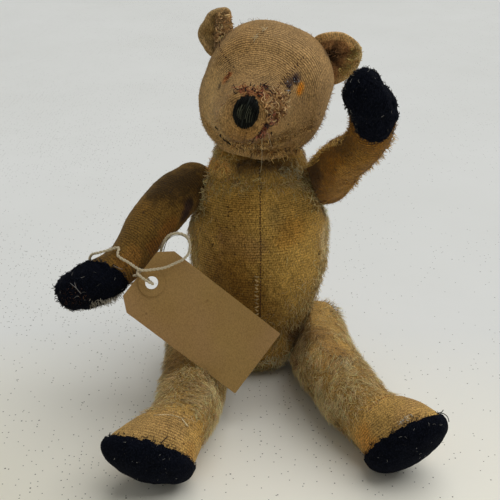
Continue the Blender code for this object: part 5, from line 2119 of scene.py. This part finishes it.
            foot.finish(side + "_sole_threads", side + "_leg", FELT_SLOT, ends)


class TEDDY_OT_stage(BearOperator):
    """Adds the pale table, the soft light and the camera"""

    bl_idname = "teddy.stage"
    bl_label = "Table, light and camera"

    def make(self, settings):
        bpy.ops.object.select_all(action="DESELECT")
        bpy.ops.mesh.primitive_plane_add(size=7.0, location=(0, 1.2, 0))
        floor = bpy.context.active_object
        floor.name = "pale_table"
        bpy.ops.object.transform_apply(location=True, rotation=True, scale=True)
        floor.data.materials.append(floor_material())
        scene = bpy.context.scene
        scene.view_settings.view_transform = "Standard"
        scene.view_settings.look = "None"
        world = bpy.data.worlds.new("Pale room")
        world.use_nodes = True
        nodes = Nodes(world.node_tree)
        back = world.node_tree.nodes["Background"]
        path = nodes.add("LightPath").outputs["Is Camera Ray"]
        back.inputs["Color"].default_value = (0.99, 0.97, 0.9, 1.0)
        nodes.put(back.inputs["Strength"], nodes.between(path, 0.0, 1.0, 0.26, 0.7))
        scene.world = world
        bpy.ops.object.light_add(type="SUN", location=(0.5, 0.35, 1.2))
        light = bpy.context.active_object
        light.name = light.data.name = "soft_top_light"
        light.data.energy = 2.0
        light.data.angle = math.radians(70)
        light.data.color = (1.0, 0.99, 0.965)
        light.rotation_euler = Vector((-0.42, -0.28, -1.0)).to_track_quat("-Z", "Y").to_euler()
        lens = bpy.data.cameras.new("bear_camera")
        lens.angle = FIELD_OF_VIEW
        camera = bpy.data.objects.new("bear_camera", lens)
        scene.collection.objects.link(camera)
        back_off = Vector((0, -math.cos(LOOK_DOWN), math.sin(LOOK_DOWN))) * LOOK_FROM
        camera.location = LOOK_AT + back_off
        camera.rotation_euler = (math.pi / 2 - LOOK_DOWN, 0, 0)
        lens.clip_start = 0.01
        scene.camera = camera


class TEDDY_OT_inside(BearOperator):
    """Gives the label, the joints' boards and the pins their finishes"""

    bl_idname = "teddy.inside"
    bl_label = "Label and joints"

    def make(self, settings):
        boards = plain_material("Fibre board", (96, 68, 46), (126, 92, 62), 0.75, 0.0)
        steel = plain_material("Dull steel", (132, 128, 122), (92, 84, 76), 0.42, 1.0)
        for name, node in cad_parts.items():
            if name.endswith("_disc"):
                material = boards
            elif name in ("label_card", "label_washer"):
                material = card_material()
            elif name.endswith(("_washer", "_pin")):
                material = steel
            else:
                continue
            for slot in node.material_slots:
                slot.material = material


class TEDDY_PT_panel(bpy.types.Panel):
    """The bear's pieces and settings"""

    bl_label = "Teddy Bear"
    bl_idname = "TEDDY_PT_panel"
    bl_space_type = "VIEW_3D"
    bl_region_type = "UI"
    bl_category = "Teddy Bear"

    def draw(self, context):
        for name in BearSettings.__annotations__:
            self.layout.prop(context.scene.teddy_bear, name)
        for operator in OPERATORS:
            self.layout.operator(operator.bl_idname)


OPERATORS = (
    TEDDY_OT_stage,
    TEDDY_OT_string,
    TEDDY_OT_covers,
    TEDDY_OT_ears,
    TEDDY_OT_pile,
    TEDDY_OT_felt,
    TEDDY_OT_nose,
    TEDDY_OT_seams,
    TEDDY_OT_loose,
    TEDDY_OT_inside,
)


def register():
    for made in (BearSettings, *OPERATORS, TEDDY_PT_panel):
        bpy.utils.register_class(made)
    bpy.types.Scene.teddy_bear = bpy.props.PointerProperty(type=BearSettings)


def unregister():
    del bpy.types.Scene.teddy_bear
    for made in reversed((BearSettings, *OPERATORS, TEDDY_PT_panel)):
        bpy.utils.unregister_class(made)


def main():
    register()
    for operator in OPERATORS:
        group, name = operator.bl_idname.split(".")
        getattr(getattr(bpy.ops, group), name)()


if __name__ == "__main__":
    main()
